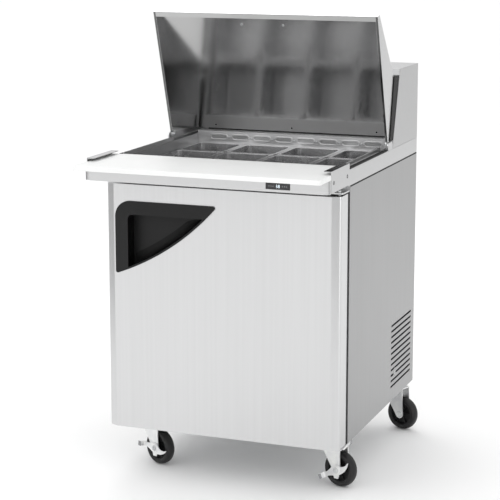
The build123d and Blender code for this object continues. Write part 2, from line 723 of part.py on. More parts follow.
def door_gasket():
    """Magnetic gasket loop with a bellows groove."""
    loop = block(-324, 324, DOOR_BACK, DOOR_BACK + 11.5, 172, 826)
    loop -= block(-304, 304, DOOR_BACK - 1, DOOR_BACK + 12, 192, 806)
    groove = block(-330, 330, DOOR_BACK + 3, DOOR_BACK + 6, 160, 840)
    groove -= block(-320, 320, DOOR_BACK + 2, DOOR_BACK + 7, 176, 822)
    return loop - groove


def door_hinge_pins():
    """Pins fixed in the door, turning in the hinge plates."""
    x, y = HINGE
    spans = [(DOOR_BOTTOM - 8, DOOR_BOTTOM + 28), (DOOR_TOP - 28, DOOR_TOP + 11)]
    return [rod((x, y, low), (x, y, high), 4.0) for low, high in spans]


# ---- inside the cabinet ------------------------------------------------------------------
SHELF_Z = 520.0
SHELF_Y = (-178.0, 172.0)
SHELF_HALF = 309.0
PILASTER_Y = [-150.0, 140.0]


def shelf_supports():
    """Four slotted pilasters and the clips that hold the shelf."""
    pieces = []
    for sign in (-1, 1):
        for y in PILASTER_Y:
            x0, x1 = sorted((sign * (LINER_HALF - 4), sign * (LINER_HALF - 0.1)))
            strip = block(x0, x1, y - 8, y + 8, LINER_FLOOR + 10, 770)
            slots = []
            for step in range(20):
                z = 230 + step * 26
                slots.append(block(x0 - 1, x1 + 1, y - 4, y + 4, z, z + 7))
            pieces.append(without(strip, slots))
            a, b = sorted((sign * (LINER_HALF - 14), sign * (LINER_HALF - 4)))
            clip = block(a, b, y - 7, y + 7, SHELF_Z - 9, SHELF_Z - 3)
            pieces.append(clip)
    return pieces


def wire_shelf():
    """Coated wire shelf: a border wire, two stiffeners and the cross wires."""
    y0, y1 = SHELF_Y
    x = SHELF_HALF
    border = [
        rod((-x, y0, SHELF_Z), (x, y0, SHELF_Z), 3.0),
        rod((-x, y1, SHELF_Z), (x, y1, SHELF_Z), 3.0),
        rod((-x, y0, SHELF_Z), (-x, y1, SHELF_Z), 3.0),
        rod((x, y0, SHELF_Z), (x, y1, SHELF_Z), 3.0),
    ]
    corners = [Pos(sx * x, y, SHELF_Z) * Sphere(3.0) for sx in (-1, 1) for y in (y0, y1)]
    stiffeners = [rod((-x, y, SHELF_Z), (x, y, SHELF_Z), 2.6) for y in (-60.0, 56.0)]
    wires = []
    for index in range(23):
        wx = (index - 11) * 26.0
        wires.append(rod((wx, y0, SHELF_Z + 3.0), (wx, y1, SHELF_Z + 3.0), 1.8))
    return joined(border + corners + stiffeners + wires)


COMPRESSOR = (-180.0, 318.0)


def compressor():
    """Hermetic compressor: a domed can on a plate with four rubber feet."""
    x, y = COMPRESSOR
    can = Pos(x, y, 243) * Cylinder(74, 120)
    can = fillet(can.edges(), 34)
    seam = Pos(x, y, 246) * Cylinder(77, 6)
    plate = block(x - 90, x + 90, y - 60, y + 60, 176, 180)
    feet = [Pos(x + dx, y + dy, 164) * Cylinder(9, 24) for dx in (-78, 78) for dy in (-48, 48)]
    stubs = []
    for sx, radius in LINES.values():
        stubs.append(rod((sx, 318, 285), (sx, 318, 329.9), radius + 1.2))
    return [joined([can, seam, block(x - 40, x + 40, y - 30, y + 30, 179, 190)] + stubs) + plate] + feet


def finned_coil(x0, x1, y0, y1, z0, z1, fins, along):
    """Coil block: thin fins across long tubes; along is the axis that the tubes run on."""
    pieces = []
    for index in range(fins):
        t = index / (fins - 1)
        if along == "y":
            y = y0 + t * (y1 - y0 - 0.6)
            pieces.append(block(x0, x1, y, y + 0.6, z0, z1))
        else:
            x = x0 + t * (x1 - x0 - 0.6)
            pieces.append(block(x, x + 0.6, y0, y1, z0, z1))
    rows = int((z1 - z0) / 32)
    for row in range(rows):
        z = z0 + 16 + row * 32
        if along == "y":
            xm = (x0 + x1) / 2
            pieces.append(rod((xm, y0 - 6, z), (xm, y1 + 6, z), 4.8))
        else:
            ym = (y0 + y1) / 2
            pieces.append(rod((x0 - 6, ym, z), (x1 + 6, ym, z), 4.8))
    return joined(pieces)


CONDENSER_FAN = (252.0, 332.0, 276.0)
EVAPORATOR_FAN = (0.0, 343.0, FAN_Z)


def fan(radius, depth, blades):
    """Axial fan about +Z at the origin: a hub, pitched blades and a shaft behind."""
    hub = Cylinder(18, depth)
    whole = [hub]
    for index in range(blades):
        blade = Pos((radius + 14) / 2, 0, 0) * Rot(24, 0, 0) * Box(radius - 14, radius * 0.62, 2.0)
        whole.append(Rot(0, 0, index * 360 / blades) * blade)
    disc = joined(whole) & Cylinder(radius, 120)
    return disc + rod((0, 0, -depth / 2), (0, 0, -depth / 2 - 22), AXLE_R)


def condenser_fan():
    """Fan that pulls air through the condenser, turning about +X."""
    return Pos(*CONDENSER_FAN) * Rot(0, 90, 0) * fan(92, 16, 5)


def evaporator_fan():
    """Fan in the cold-air plenum, turning about -Y."""
    return Pos(*EVAPORATOR_FAN) * Rot(90, 0, 0) * fan(84, 12, 5)


def fan_motors():
    """Shaded-pole motors of the two fans, each on a strap."""
    x, y, z = CONDENSER_FAN
    first = rod((x - 70, y, z), (x - 16, y, z), 33) - rod((x - 40, y, z), (x, y, z), AXLE_R + RUNNING)
    first += block(x - 68, x - 60, y - 100, y + 100, z - 8, z + 8)
    first += block(x - 68, x - 60, y - 100, y - 92, 151, z + 8)
    first += block(x - 68, x - 60, y + 92, y + 100, 151, z + 8)
    x, y, z = EVAPORATOR_FAN
    second = rod((x, y + 16, z), (x, y + 62, z), 28)
    second -= rod((x, y, z), (x, y + 40, z), AXLE_R + RUNNING)
    second += block(x - 110, x + 110, y + 56, y + 62, z - 8, z + 8)
    for sign in (-1, 1):
        a, b = sorted((sign * 104, sign * 110))
        second += block(a, b, DUCT_Y + HEAVY + 0.2, y + 62, z - 8, z + 8)
    return [first, second]


def refrigerant_lines():
    """Suction and liquid lines between the compressor and the evaporator, with a drier."""
    pieces = []
    for x, radius in LINES.values():
        pieces.append(tube(line_route(x), LINE_RADII, radius))
    x = LINES["liquid"][0]
    pieces[1] = pieces[1] + Pos(x, 452, 560) * Cylinder(9, 90)
    return pieces


def power_inlet():
    """Terminal box in the machine compartment and the cord gland through the back panel."""
    box = block(-322, -248, 392, 458, 205, 300)
    gland = rod((-285, 457, 250), (-285, BACK_Y - 0.1, 250), 11.8)
    gland += rod((-285, BACK_Y - 0.9, 250), (-285, BACK_Y - 0.1, 250), 16)
    flare = rod((-285, 440, 250), (-285, BACK_Y + 1, 250), 5.0)
    return fillet(box.edges().filter_by(Axis.Y), 4) + gland - flare


# ---- casters -----------------------------------------------------------------------------
PLATE = (92.0, 58.0)
PLATE_THICK = 4.0
CROWN_TOP = 133.5
LEG_INNER = 17.5
LEG_THICK = 3.0
LEG_OUTER = LEG_INNER + LEG_THICK


def caster_plate(x, y):
    """Top plate with its upper race, king pin and nut."""
    top = BASE_Z
    plate = extrude(RectangleRounded(*PLATE, 6), -PLATE_THICK)
    for dx in (-35, 35):
        for dy in (-20, 20):
            plate -= Pos(dx, dy, -2) * Cylinder(4.2, 10)
    plate = Pos(x, y, top) * plate
    race = Pos(x, y, (top - PLATE_THICK + 134) / 2) * Cylinder(25, top - PLATE_THICK - 134)
    king = rod((x, y, 134), (x, y, 118), KING_R)
    nut = Pos(x, y, 113) * extrude(RegularPolygon(10, 6), 8)
    return joined([plate, race, king, nut])


def fork(brake):
    """Fork with its axle, built with the swivel axis at the origin and the trail along +X."""
    face = make_face(Polyline(
        (-27, CROWN_TOP), (41, CROWN_TOP), (41, 122), (44.9, 52.5), (20.5, 44.8), (-27, 118), close=True,
    ))
    face += Pos(TRAIL, WHEEL_R) * Circle(13)
    legs = [slab_y(face, -LEG_OUTER, -LEG_INNER), slab_y(face, LEG_INNER, LEG_OUTER)]
    crown = block(-27, 41, -LEG_OUTER, LEG_OUTER, CROWN_TOP - 3, CROWN_TOP)
    cup = Pos(0, 0, CROWN_TOP - 5) * Cylinder(27, 10) & block(-40, 41, -LEG_OUTER, LEG_OUTER, 0, 200)
    web_outline = [(-27, CROWN_TOP), (-24, CROWN_TOP), (-24, 117), (-13.6, 101), (-16.3, 101), (-27, 117.5)]
    web = slab_y(make_face(Polyline(*web_outline, close=True)), -LEG_OUTER, LEG_OUTER)
    frame = joined(legs + [crown, cup, web])
    frame -= rod((0, 0, 110), (0, 0, 140), KING_R + RUNNING)
    frame -= rod((TRAIL, -40, WHEEL_R), (TRAIL, 40, WHEEL_R), AXLE_R)
    if not brake:
        frame -= block(6, 14, -40, 0, 104, 118)
    reach = 27.5 if brake else LEG_OUTER + 5.5
    axle = rod((TRAIL, -reach, WHEEL_R), (TRAIL, LEG_OUTER + 6, WHEEL_R), AXLE_R)
    head = slab_y(Pos(TRAIL, WHEEL_R) * RegularPolygon(7.5, 6), -reach, -reach + 4)
    nut = slab_y(Pos(TRAIL, WHEEL_R) * RegularPolygon(7.5, 6), LEG_OUTER, LEG_OUTER + 6)
    axle = joined([axle, head, nut])
    if brake:
        axle += rod((TRAIL, -LEG_OUTER, WHEEL_R), (TRAIL, -reach + 1, WHEEL_R), 6.0)
    return [frame, axle]


def wheel():
    """Wheel about the Y axis at the origin: crowned tread, ribbed centre and a long hub."""
    half = WHEEL_WIDE / 2
    web = 3.0
    hub_half = LEG_INNER - 0.6
    profile = make_face(
        Polyline(
            (AXLE_R + RUNNING, hub_half), (11, hub_half), (12.5, web), (36, web), (38, half - 2),
            (44, half), (WHEEL_R - 4, half),
        )
        + ThreePointArc((WHEEL_R - 4, half), (WHEEL_R, 0), (WHEEL_R - 4, -half))
        + Polyline(
            (WHEEL_R - 4, -half), (44, -half), (38, -half + 2), (36, -web), (12.5, -web),
            (11, -hub_half), (AXLE_R + RUNNING, -hub_half), (AXLE_R + RUNNING, hub_half),
        )
    )
    disc = revolve(profile, Axis.Y, 360)
    for index in range(6):
        rib = block(12, 37, -(half - 4), half - 4, -1.6, 1.6)
        disc += Rot(0, index * 60, 0) * rib
    return disc


def brake_lever(angle):
    """Stamped lever about the Y axis at the origin: pedal arm, cam arm and a foot."""
    arm = make_face(Polyline((0, 8), (22, 7), (46, 6), (46, -6), (22, -7), (0, -8), close=True))
    cam_face = make_face(Polyline((0, 9), (24, 7.5), (44, 13), (47, 11), (30, -4), (0, -9), close=True))
    foot = Pos(0, -13) * Rectangle(15, 22)
    shape = Circle(15) + Rot(0, 0, angle) * arm + Rot(0, 0, angle - CAM_BEHIND) * cam_face + foot
    plate = slab_y(shape, -23.2, -21.2)
    pedal = block(42, 58, -36, -21.2, -7, -4.6)
    pedal = fillet(pedal.edges().filter_by(Axis.Z), 3)
    pedal += block(42, 46, -23.2, -21.2, -7, 6)
    plate += Rot(0, -angle, 0) * pedal
    return plate - rod((0, -40, 0), (0, 0, 0), 6.0 + RUNNING)


# ---- write every node --------------------------------------------------------------------
save("side_panel_left", [side_panel(-1)])
save("side_panel_right", [louvred_panel()])
save("back_panel", [back_panel()])
save("base_panel", [base_panel()])
save("insulation", [insulation()])
save("inner_liner", [inner_liner()])
save("throat_frame", [throat_frame()])
save("top_rail", [top_rail()])
save("air_duct", [air_duct()])
save("pan_bars", pan_bars())
save("front_apron", [front_apron()])
save("control_display", control_display())
save("cutting_board", [cutting_board()])
save("board_brackets", board_brackets())
save("screws", screws())
save("hood_shell", [hood_shell()])
save("lid_rubbers", lid_rubbers() + rail_gaskets())
save("lid_shell", [opened(lid_shell())])
save("lid_liner", [opened(lid_liner())])
save("lid_pins", lid_pins())
save("hinge_brackets", hinge_brackets())
save("door_skin", [door_skin()])
save("door_core", [door_core()])
save("door_liner", [door_liner()])
save("door_gasket", [door_gasket()])
save("door_handle", [door_handle()])
save("door_hinge_pins", door_hinge_pins())
save("shelf_supports", shelf_supports())
save("wire_shelf", [wire_shelf()])
save("compressor", compressor())
save("condenser_coil", [finned_coil(290, 330, 218, 446, 168, 388, 20, "y")])
save("evaporator_coil", [finned_coil(-230, 230, 372, 424, 650, 842, 24, "x")])
save("fan_motors", fan_motors())
save("condenser_fan", [condenser_fan()])
save("evaporator_fan", [evaporator_fan()])
save("refrigerant_lines", refrigerant_lines())
save("power_inlet", [power_inlet()])

one_pan = pan()
for row in range(PAN_ROWS):
    for column in range(PAN_COLUMNS):
        save(f"pan_{row + 1}_{column + 1}", [pan_place(row, column) * one_pan])

save("caster_plates", [caster_plate(x, y) for x, y, _, _ in CASTERS.values()])
for name, (x, y, heading, lever) in CASTERS.items():
    place = Pos(x, y, 0) * Rot(0, 0, heading)
    hub = Pos(TRAIL, 0, WHEEL_R)
    save(f"fork_{name}", [place * piece for piece in fork(lever is not None)])
    save(f"wheel_{name}", [place * hub * wheel()])
    if lever is not None:
        save(f"brake_{name}", [place * hub * brake_lever(lever)])
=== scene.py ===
"""Looks of the sandwich prep table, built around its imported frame. Metres, +Z up, +Y to the back."""

import json
import math

import bmesh
import bpy
from mathutils import Matrix, Vector


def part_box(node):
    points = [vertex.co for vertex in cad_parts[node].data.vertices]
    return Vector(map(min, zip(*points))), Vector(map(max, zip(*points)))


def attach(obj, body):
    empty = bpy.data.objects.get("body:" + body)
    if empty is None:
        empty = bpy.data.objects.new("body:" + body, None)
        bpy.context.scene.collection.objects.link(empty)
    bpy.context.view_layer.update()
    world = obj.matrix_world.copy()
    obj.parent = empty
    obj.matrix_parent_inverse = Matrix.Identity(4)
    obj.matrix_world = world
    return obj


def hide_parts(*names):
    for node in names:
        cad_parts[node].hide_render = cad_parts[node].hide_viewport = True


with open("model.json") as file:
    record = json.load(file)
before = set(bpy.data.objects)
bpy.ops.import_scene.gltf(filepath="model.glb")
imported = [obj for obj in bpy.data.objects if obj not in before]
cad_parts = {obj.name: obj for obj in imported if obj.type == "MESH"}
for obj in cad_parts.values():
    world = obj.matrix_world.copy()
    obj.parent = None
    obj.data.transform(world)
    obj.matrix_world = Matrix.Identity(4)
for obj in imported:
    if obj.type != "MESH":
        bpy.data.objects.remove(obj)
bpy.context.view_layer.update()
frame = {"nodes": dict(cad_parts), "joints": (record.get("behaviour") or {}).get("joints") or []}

NODES = frame["nodes"]
JOINTS = {joint["name"]: joint for joint in frame["joints"]}
MM = 0.001
UP, DOWN = (0, 0, 1), (0, 0, -1)
FRONT, BACK, RIGHT = (0, -1, 0), (0, 1, 0), (1, 0, 0)


# ---- camera, light and floor ----
CAMERA_PLACE = (1.6413, -4.3420, 1.5904)
CAMERA_YAW = 20.76
CAMERA_PITCH = 10.49
CAMERA_LENS = 118.1
CAMERA_SHIFT = (-0.010, -0.070)
ROOM_GLOW = 0.66
FRONT_GLOW = 0.42
SKY_GLOW = 0.40


def add_object(name, data):
    """A new object, linked to the scene."""
    made = bpy.data.objects.new(name, data)
    bpy.context.scene.collection.objects.link(made)
    return made


def make_camera():
    """The camera, at the angle and the distance that the table is seen from."""
    data = bpy.data.cameras.new("camera")
    data.lens = CAMERA_LENS
    data.sensor_width = 36.0
    data.shift_x, data.shift_y = CAMERA_SHIFT
    data.clip_end = 200.0
    camera = add_object("camera", data)
    camera.location = CAMERA_PLACE
    camera.rotation_euler = (math.radians(90 - CAMERA_PITCH), 0, math.radians(CAMERA_YAW))
    bpy.context.scene.camera = camera


def area_light(name, place, target, size, power):
    """A soft lamp aimed at a point. It shows in reflections but not to the camera."""
    data = bpy.data.lights.new(name, "AREA")
    data.shape = "RECTANGLE"
    data.size, data.size_y = size
    data.energy = power
    lamp = add_object(name, data)
    lamp.location = place
    aim = Vector(target) - Vector(place)
    lamp.rotation_euler = aim.to_track_quat("-Z", "Y").to_euler()
    lamp.visible_camera = False


def make_flag(name, place, turn, size, tone):
    """A grey upright card beside the table: width and height, turned about Z. Only reflections show it."""
    bpy.ops.mesh.primitive_plane_add(size=1.0, location=place)
    card = bpy.context.object
    card.name = name
    card.rotation_euler = (0, math.radians(90), math.radians(turn))
    card.scale = (size[1], size[0], 1.0)
    card.visible_camera = False
    card.visible_diffuse = False
    card.visible_shadow = False
    surface = Surface(name, (tone, tone, tone), 0.8)
    surface.rough(surface.noise(2.0), 0.75, 0.90)
    card.data.materials.append(surface.material)


def make_world():
    """Pale surroundings: brightest in front and overhead, dimmer at the sides and behind."""
    world = bpy.data.worlds.new("studio")
    bpy.context.scene.world = world
    world.use_nodes = True
    tree = world.node_tree
    place = tree.nodes.new("ShaderNodeTexCoord")
    split = tree.nodes.new("ShaderNodeSeparateXYZ")
    tree.links.new(place.outputs["Generated"], split.inputs[0])
    total = None
    for axis, start, stop, amount in (("Y", 0.10, -0.85, FRONT_GLOW), ("Z", 0.15, 0.75, SKY_GLOW)):
        glow = tree.nodes.new("ShaderNodeMapRange")
        glow.interpolation_type = "SMOOTHSTEP"
        glow.inputs["From Min"].default_value = start
        glow.inputs["From Max"].default_value = stop
        glow.inputs["To Max"].default_value = amount
        tree.links.new(split.outputs[axis], glow.inputs["Value"])
        add = tree.nodes.new("ShaderNodeMath")
        add.inputs[1].default_value = ROOM_GLOW
        if total is not None:
            tree.links.new(total, add.inputs[1])
        tree.links.new(glow.outputs["Result"], add.inputs[0])
        total = add.outputs[0]
    background = tree.nodes["Background"]
    tree.links.new(total, background.inputs["Strength"])
    background.inputs["Color"].default_value = (1.0, 1.0, 1.0, 1.0)


def make_studio():
    """World, lamps, floor and plain colour handling."""
    make_world()
    area_light("key", (-2.6, -3.6, 3.4), (0, 0, 0.7), (2.4, 2.4), 22)
    area_light("rim", (-1.5, 2.8, 4.2), (0, 0, 1.0), (2.6, 2.6), 38)
    make_flag("left_flag", (-2.6, -1.5, 0.9), -20, (2.4, 2.2), 0.42)
    make_flag("right_flag", (1.75, -2.75, 0.6), -62, (0.9, 1.6), 0.30)
    area_light("edge", (3.0, -1.9, 0.9), (0.34, -0.27, 0.5), (0.45, 2.2), 9)
    bpy.ops.mesh.primitive_plane_add(size=160, location=(0, 0, -0.0004))
    floor = bpy.context.object
    floor.name = "floor"
    surface = Surface("floor_pale", (0.95, 0.95, 0.95), 0.85)
    surface.rough(surface.noise(1.5), 0.80, 0.90)
    floor.data.materials.append(surface.material)
    bpy.context.scene.view_settings.view_transform = "Standard"
    bpy.context.scene.view_settings.look = "None"


# ---- materials ----
MIX_SHARE, MIX_FROM, MIX_TO = 0, 6, 7  # a colour Mix node's sockets
MIX_COLOUR = 2  # and its output
MATERIALS = {}


class Surface:
    """A Principled material, kept in MATERIALS, with short cuts for procedural detail in metres."""

    def __init__(self, name, colour, roughness, metallic=0.0):
        self.material = bpy.data.materials.new(name)
        MATERIALS[name] = self.material
        self.material.use_nodes = True
        self.tree = self.material.node_tree
        self.shader = self.tree.nodes["Principled BSDF"]
        self.shader.inputs["Base Color"].default_value = (*colour, 1.0)
        self.shader.inputs["Roughness"].default_value = roughness
        self.shader.inputs["Metallic"].default_value = metallic
        self.coords = self.tree.nodes.new("ShaderNodeTexCoord").outputs["Object"]
        self.normal = None

    def link(self, output, socket):
        """Join an output to an input."""
        self.tree.links.new(output, socket)

    def node(self, kind, **values):
        """A node with the given input values."""
        made = self.tree.nodes.new(kind)
        for key, value in values.items():
            made.inputs[key.replace("_", " ")].default_value = value
        return made

    def scaled(self, scale):
        """Object coordinates times a frequency in cycles per metre, one for all axes or one for each."""
        mapping = self.tree.nodes.new("ShaderNodeMapping")
        mapping.inputs["Scale"].default_value = (scale,) * 3 if isinstance(scale, float) else scale
        self.link(self.coords, mapping.inputs["Vector"])
        return mapping.outputs[0]

    def noise(self, scale, detail=2.0, distortion=0.0):
        """Smooth noise of the given frequency."""
        made = self.node("ShaderNodeTexNoise", Scale=1.0, Detail=detail, Distortion=distortion)
        self.link(self.scaled(scale), made.inputs["Vector"])
        return made.outputs["Fac"]

    def cells(self, scale):
        """Distance to the nearest cell centre, for pebbled surfaces."""
        made = self.node("ShaderNodeTexVoronoi", Scale=1.0, Randomness=1.0)
        self.link(self.scaled(scale), made.inputs["Vector"])
        return made.outputs["Distance"]

    def spread(self, value, low, high, start=0.3, stop=0.7):
        """A value remapped from start..stop to low..high."""
        made = self.node("ShaderNodeMapRange", From_Min=start, From_Max=stop, To_Min=low, To_Max=high)
        self.link(value, made.inputs["Value"])
        return made.outputs["Result"]

    def rough(self, value, low, high, start=0.3, stop=0.7):
        """Roughness that follows a value."""
        self.link(self.spread(value, low, high, start, stop), self.shader.inputs["Roughness"])

    def tint(self, value, dark, light, start=0.3, stop=0.7):
        """Base colour that runs from dark to light with a value."""
        mix = self.tree.nodes.new("ShaderNodeMix")
        mix.data_type = "RGBA"
        mix.inputs[MIX_FROM].default_value = (*dark, 1.0)
        mix.inputs[MIX_TO].default_value = (*light, 1.0)
        self.link(self.spread(value, 0.0, 1.0, start, stop), mix.inputs[MIX_SHARE])
        self.link(mix.outputs[MIX_COLOUR], self.shader.inputs["Base Color"])

    def painted_light_zone(self, axis, near, far, factor):
        """Painted light: scale the colour where an axis's coordinate, without its sign, is between near and
        far, so a band of the surface is painted lighter or darker.
        """
        split = self.tree.nodes.new("ShaderNodeSeparateXYZ")
        self.link(self.coords, split.inputs[0])
        away = self.tree.nodes.new("ShaderNodeMath")
        away.operation = "ABSOLUTE"
        self.link(split.outputs[axis], away.inputs[0])
        painted_area = self.tree.nodes.new("ShaderNodeMath")
        painted_area.operation = "COMPARE"
        painted_area.inputs[1].default_value = (near + far) / 2
        painted_area.inputs[2].default_value = (far - near) / 2
        self.link(away.outputs[0], painted_area.inputs[0])
        mix = self.tree.nodes.new("ShaderNodeMix")
        mix.data_type = "RGBA"
        mix.blend_type = "MULTIPLY"
        mix.clamp_result = False
        mix.inputs[MIX_TO].default_value = (factor, factor, factor, 1.0)
        base = self.shader.inputs["Base Color"]
        self.link(base.links[0].from_socket, mix.inputs[MIX_FROM])
        self.link(painted_area.outputs[0], mix.inputs[MIX_SHARE])
        self.link(mix.outputs[MIX_COLOUR], base)

    def bump(self, value, depth, strength=1.0):
        """Relief of the given depth in metres; several calls add up."""
        made = self.node("ShaderNodeBump", Strength=strength, Distance=depth)
        self.link(value, made.inputs["Height"])
        if self.normal is not None:
            self.link(self.normal, made.inputs["Normal"])
        self.normal = made.outputs["Normal"]
        self.link(self.normal, self.shader.inputs["Normal"])


def shade(colour, factor):
    """A colour multiplied by a factor."""
    return tuple(channel * factor for channel in colour)


GRAIN = {"x": (5.0, 900.0, 900.0), "y": (900.0, 5.0, 900.0), "z": (900.0, 900.0, 5.0)}
STREAK = {"x": (1.1, 140.0, 140.0), "y": (140.0, 1.1, 140.0), "z": (140.0, 140.0, 1.1)}


def brushed(name, along, colour, roughness, painted_light_zones=()):
    """Long-grain brushed stainless steel with the grain along one axis."""
    surface = Surface(name, colour, roughness, 1.0)
    fine = surface.noise(GRAIN[along], 3.0)
    streak = surface.noise(STREAK[along], 2.0)
    cloud = surface.noise(2.3, 3.0, 0.4)
    surface.tint(streak, shade(colour, 0.982), shade(colour, 1.012))
    for painted_light_zone in painted_light_zones:
        surface.painted_light_zone(*painted_light_zone)
    joined = surface.tree.nodes.new("ShaderNodeMath")
    joined.operation = "MULTIPLY_ADD"
    surface.link(cloud, joined.inputs[0])
    joined.inputs[1].default_value = 0.55
    surface.link(surface.spread(fine, 0.0, 0.45), joined.inputs[2])
    surface.rough(joined.outputs[0], roughness - 0.03, roughness + 0.04, 0.2, 0.8)
    surface.bump(fine, 0.00002, 0.35)


def polished(name, colour, roughness, painted_light_zones=()):
    """Buffed mirror sheet with a faint haze and a slight oil-canning."""
    surface = Surface(name, colour, roughness, 1.0)
    haze = surface.noise(7.0, 4.0, 0.6)
    surface.tint(haze, shade(colour, 0.97), shade(colour, 1.02))
    for painted_light_zone in painted_light_zones:
        surface.painted_light_zone(*painted_light_zone)
    surface.rough(haze, roughness - 0.02, roughness + 0.04)
    surface.bump(surface.noise(3.0, 1.0), 0.0008, 0.30)
    surface.bump(surface.noise((800.0, 6.0, 6.0), 2.0), 0.00001, 0.4)


def deep_drawn(name, colour):
    """Satin drawn steel for the pans, with fine wipe marks."""
    surface = Surface(name, colour, 0.24, 1.0)
    wipe = surface.noise((22.0, 9.0, 34.0), 3.0, 0.8)
    surface.tint(wipe, shade(colour, 0.975), shade(colour, 1.015))
    surface.rough(wipe, 0.22, 0.28)
    surface.bump(surface.noise((260.0, 260.0, 18.0), 2.0), 0.00002, 0.3)


def zinc(name, colour):
    """Zinc-plated steel: soft spangle and a little dullness."""
    surface = Surface(name, colour, 0.36, 0.80)
    spangle = surface.cells(160.0)
    cloud = surface.noise(35.0, 4.0)
    surface.tint(cloud, shade(colour, 0.86), (colour[0] * 1.05, colour[1] * 1.05, colour[2] * 1.01))
    surface.rough(spangle, 0.28, 0.44, 0.1, 0.9)
    surface.bump(surface.noise(1500.0, 2.0), 0.00002, 0.6)


def moulded(name, colour, roughness, grain=2200.0, depth=0.00006, painted_light_zones=()):
    """Moulded plastic or rubber with a fine spark-eroded texture."""
    surface = Surface(name, colour, roughness)
    surface.shader.inputs["Specular IOR Level"].default_value = 0.28
    fine = surface.noise((grain, grain, grain), 3.0)
    cloud = surface.noise(18.0, 3.0)
    surface.tint(cloud, shade(colour, 0.82), shade(colour, 1.22))
    for painted_light_zone in painted_light_zones:
        surface.painted_light_zone(*painted_light_zone)
    surface.rough(cloud, roughness - 0.05, roughness + 0.06)
    surface.bump(fine, depth, 0.8)


def board_plastic():
    """White polyethylene: pebbled, slightly translucent, with faint knife marks."""
    surface = Surface("board_white", (0.80, 0.805, 0.80), 0.42)
    surface.shader.inputs["Subsurface Weight"].default_value = 0.08
    surface.shader.inputs["Subsurface Radius"].default_value = (0.004, 0.004, 0.004)
    cloud = surface.noise(9.0, 3.0)
    surface.tint(cloud, (0.785, 0.79, 0.785), (0.815, 0.82, 0.815))
    surface.rough(surface.noise(300.0), 0.36, 0.50)
    surface.bump(surface.cells(900.0), 0.00006, 0.5)
    cuts = surface.noise((9.0, 420.0, 9.0), 1.0, 0.8)
    surface.bump(surface.spread(cuts, 0.0, 1.0, 0.70, 0.74), 0.00005, 0.5)


def stucco_aluminium():
    """Embossed aluminium lining."""
    surface = Surface("stucco_aluminium", (0.80, 0.81, 0.82), 0.34, 1.0)
    ripple = surface.noise(120.0, 2.0, 1.6)
    surface.tint(surface.noise(4.0), (0.76, 0.77, 0.78), (0.83, 0.84, 0.85))
    surface.rough(ripple, 0.30, 0.42)
    surface.bump(ripple, 0.0006, 0.7)


def foam_plastic():
    """Rigid cream foam with open pores."""
    surface = Surface("foam_cream", (0.83, 0.76, 0.55), 0.85)
    pores = surface.cells(700.0)
    surface.tint(pores, (0.66, 0.58, 0.38), (0.86, 0.80, 0.60), 0.1, 0.6)
    surface.bump(pores, 0.0003, 0.8)


def tread_rubber():
    """Black wheel rubber, dusty where it rolls."""
    surface = Surface("wheel_rubber", (0.014, 0.014, 0.015), 0.46)
    surface.shader.inputs["Specular IOR Level"].default_value = 0.35
    dust = surface.noise(40.0, 5.0, 0.5)
    surface.tint(dust, (0.009, 0.009, 0.010), (0.024, 0.023, 0.022), 0.35, 0.75)
    surface.rough(dust, 0.40, 0.62)
    surface.bump(surface.noise(1600.0, 2.0), 0.00006, 0.6)


def gloss_lens():
    """Glossy dark lens of the display."""
    surface = Surface("display_gloss", (0.008, 0.008, 0.010), 0.10)
    surface.shader.inputs["Coat Weight"].default_value = 0.6
    surface.shader.inputs["Coat Roughness"].default_value = 0.05
    surface.rough(surface.noise(90.0, 3.0), 0.08, 0.16)


def lit_segments():
    """Pale glow of the display's digits."""
    surface = Surface("digit_glow", (0.75, 0.85, 0.90), 0.4)
    surface.shader.inputs["Emission Color"].default_value = (0.80, 0.92, 1.0, 1.0)
    surface.shader.inputs["Emission Strength"].default_value = 1.6
    surface.tint(surface.noise(900.0), (0.65, 0.78, 0.85), (0.80, 0.90, 0.95))


def copper_tube():
    """Bare copper with darker patches where it was brazed."""
    surface = Surface("copper", (0.80, 0.42, 0.27), 0.30, 1.0)
    patch = surface.noise(22.0, 4.0, 0.8)
    surface.tint(patch, (0.45, 0.22, 0.14), (0.84, 0.46, 0.31))
    surface.rough(patch, 0.22, 0.48)
    surface.bump(surface.noise(900.0), 0.00003, 0.5)


def fin_metal():
    """Thin aluminium fins, a little oxidised."""
    surface = Surface("fin_aluminium", (0.72, 0.73, 0.74), 0.40, 1.0)
    surface.tint(surface.noise(70.0, 4.0), (0.52, 0.53, 0.54), (0.78, 0.79, 0.80))
    surface.rough(surface.noise(300.0), 0.32, 0.52)
    surface.bump(surface.noise((40.0, 40.0, 600.0)), 0.0001, 0.4)


FRONT_STEEL = (0.635, 0.637, 0.640)
# Darker copy of the front steel: painted shade for the side panels.
SHADED_SIDE_STEEL = (0.352, 0.353, 0.355)
OUTSIDE = 0.4  # beyond every side face
# Out from here the rail's and the hood's side faces are painted darker: painted shade.
RAIL_SIDE = 0.3446  # the rail's and the hood's side faces start here
# Out from here the lid's side faces are painted darker: painted shade.
LID_SIDE = 0.3395
# A painted highlight in this band along the liner's cheeks, and painted shade beyond it.
CHEEK_HIGHLIGHT_BAND = (0.3332, 0.3338)  # the bright edge of the liner's cheeks, which go on to the outside
# Over this depth the handle is painted near-black: painted shade in the finger recess.
RECESS_SHADE_BAND = (0.2425, 0.2835)  # depth of the finger recess behind its rim


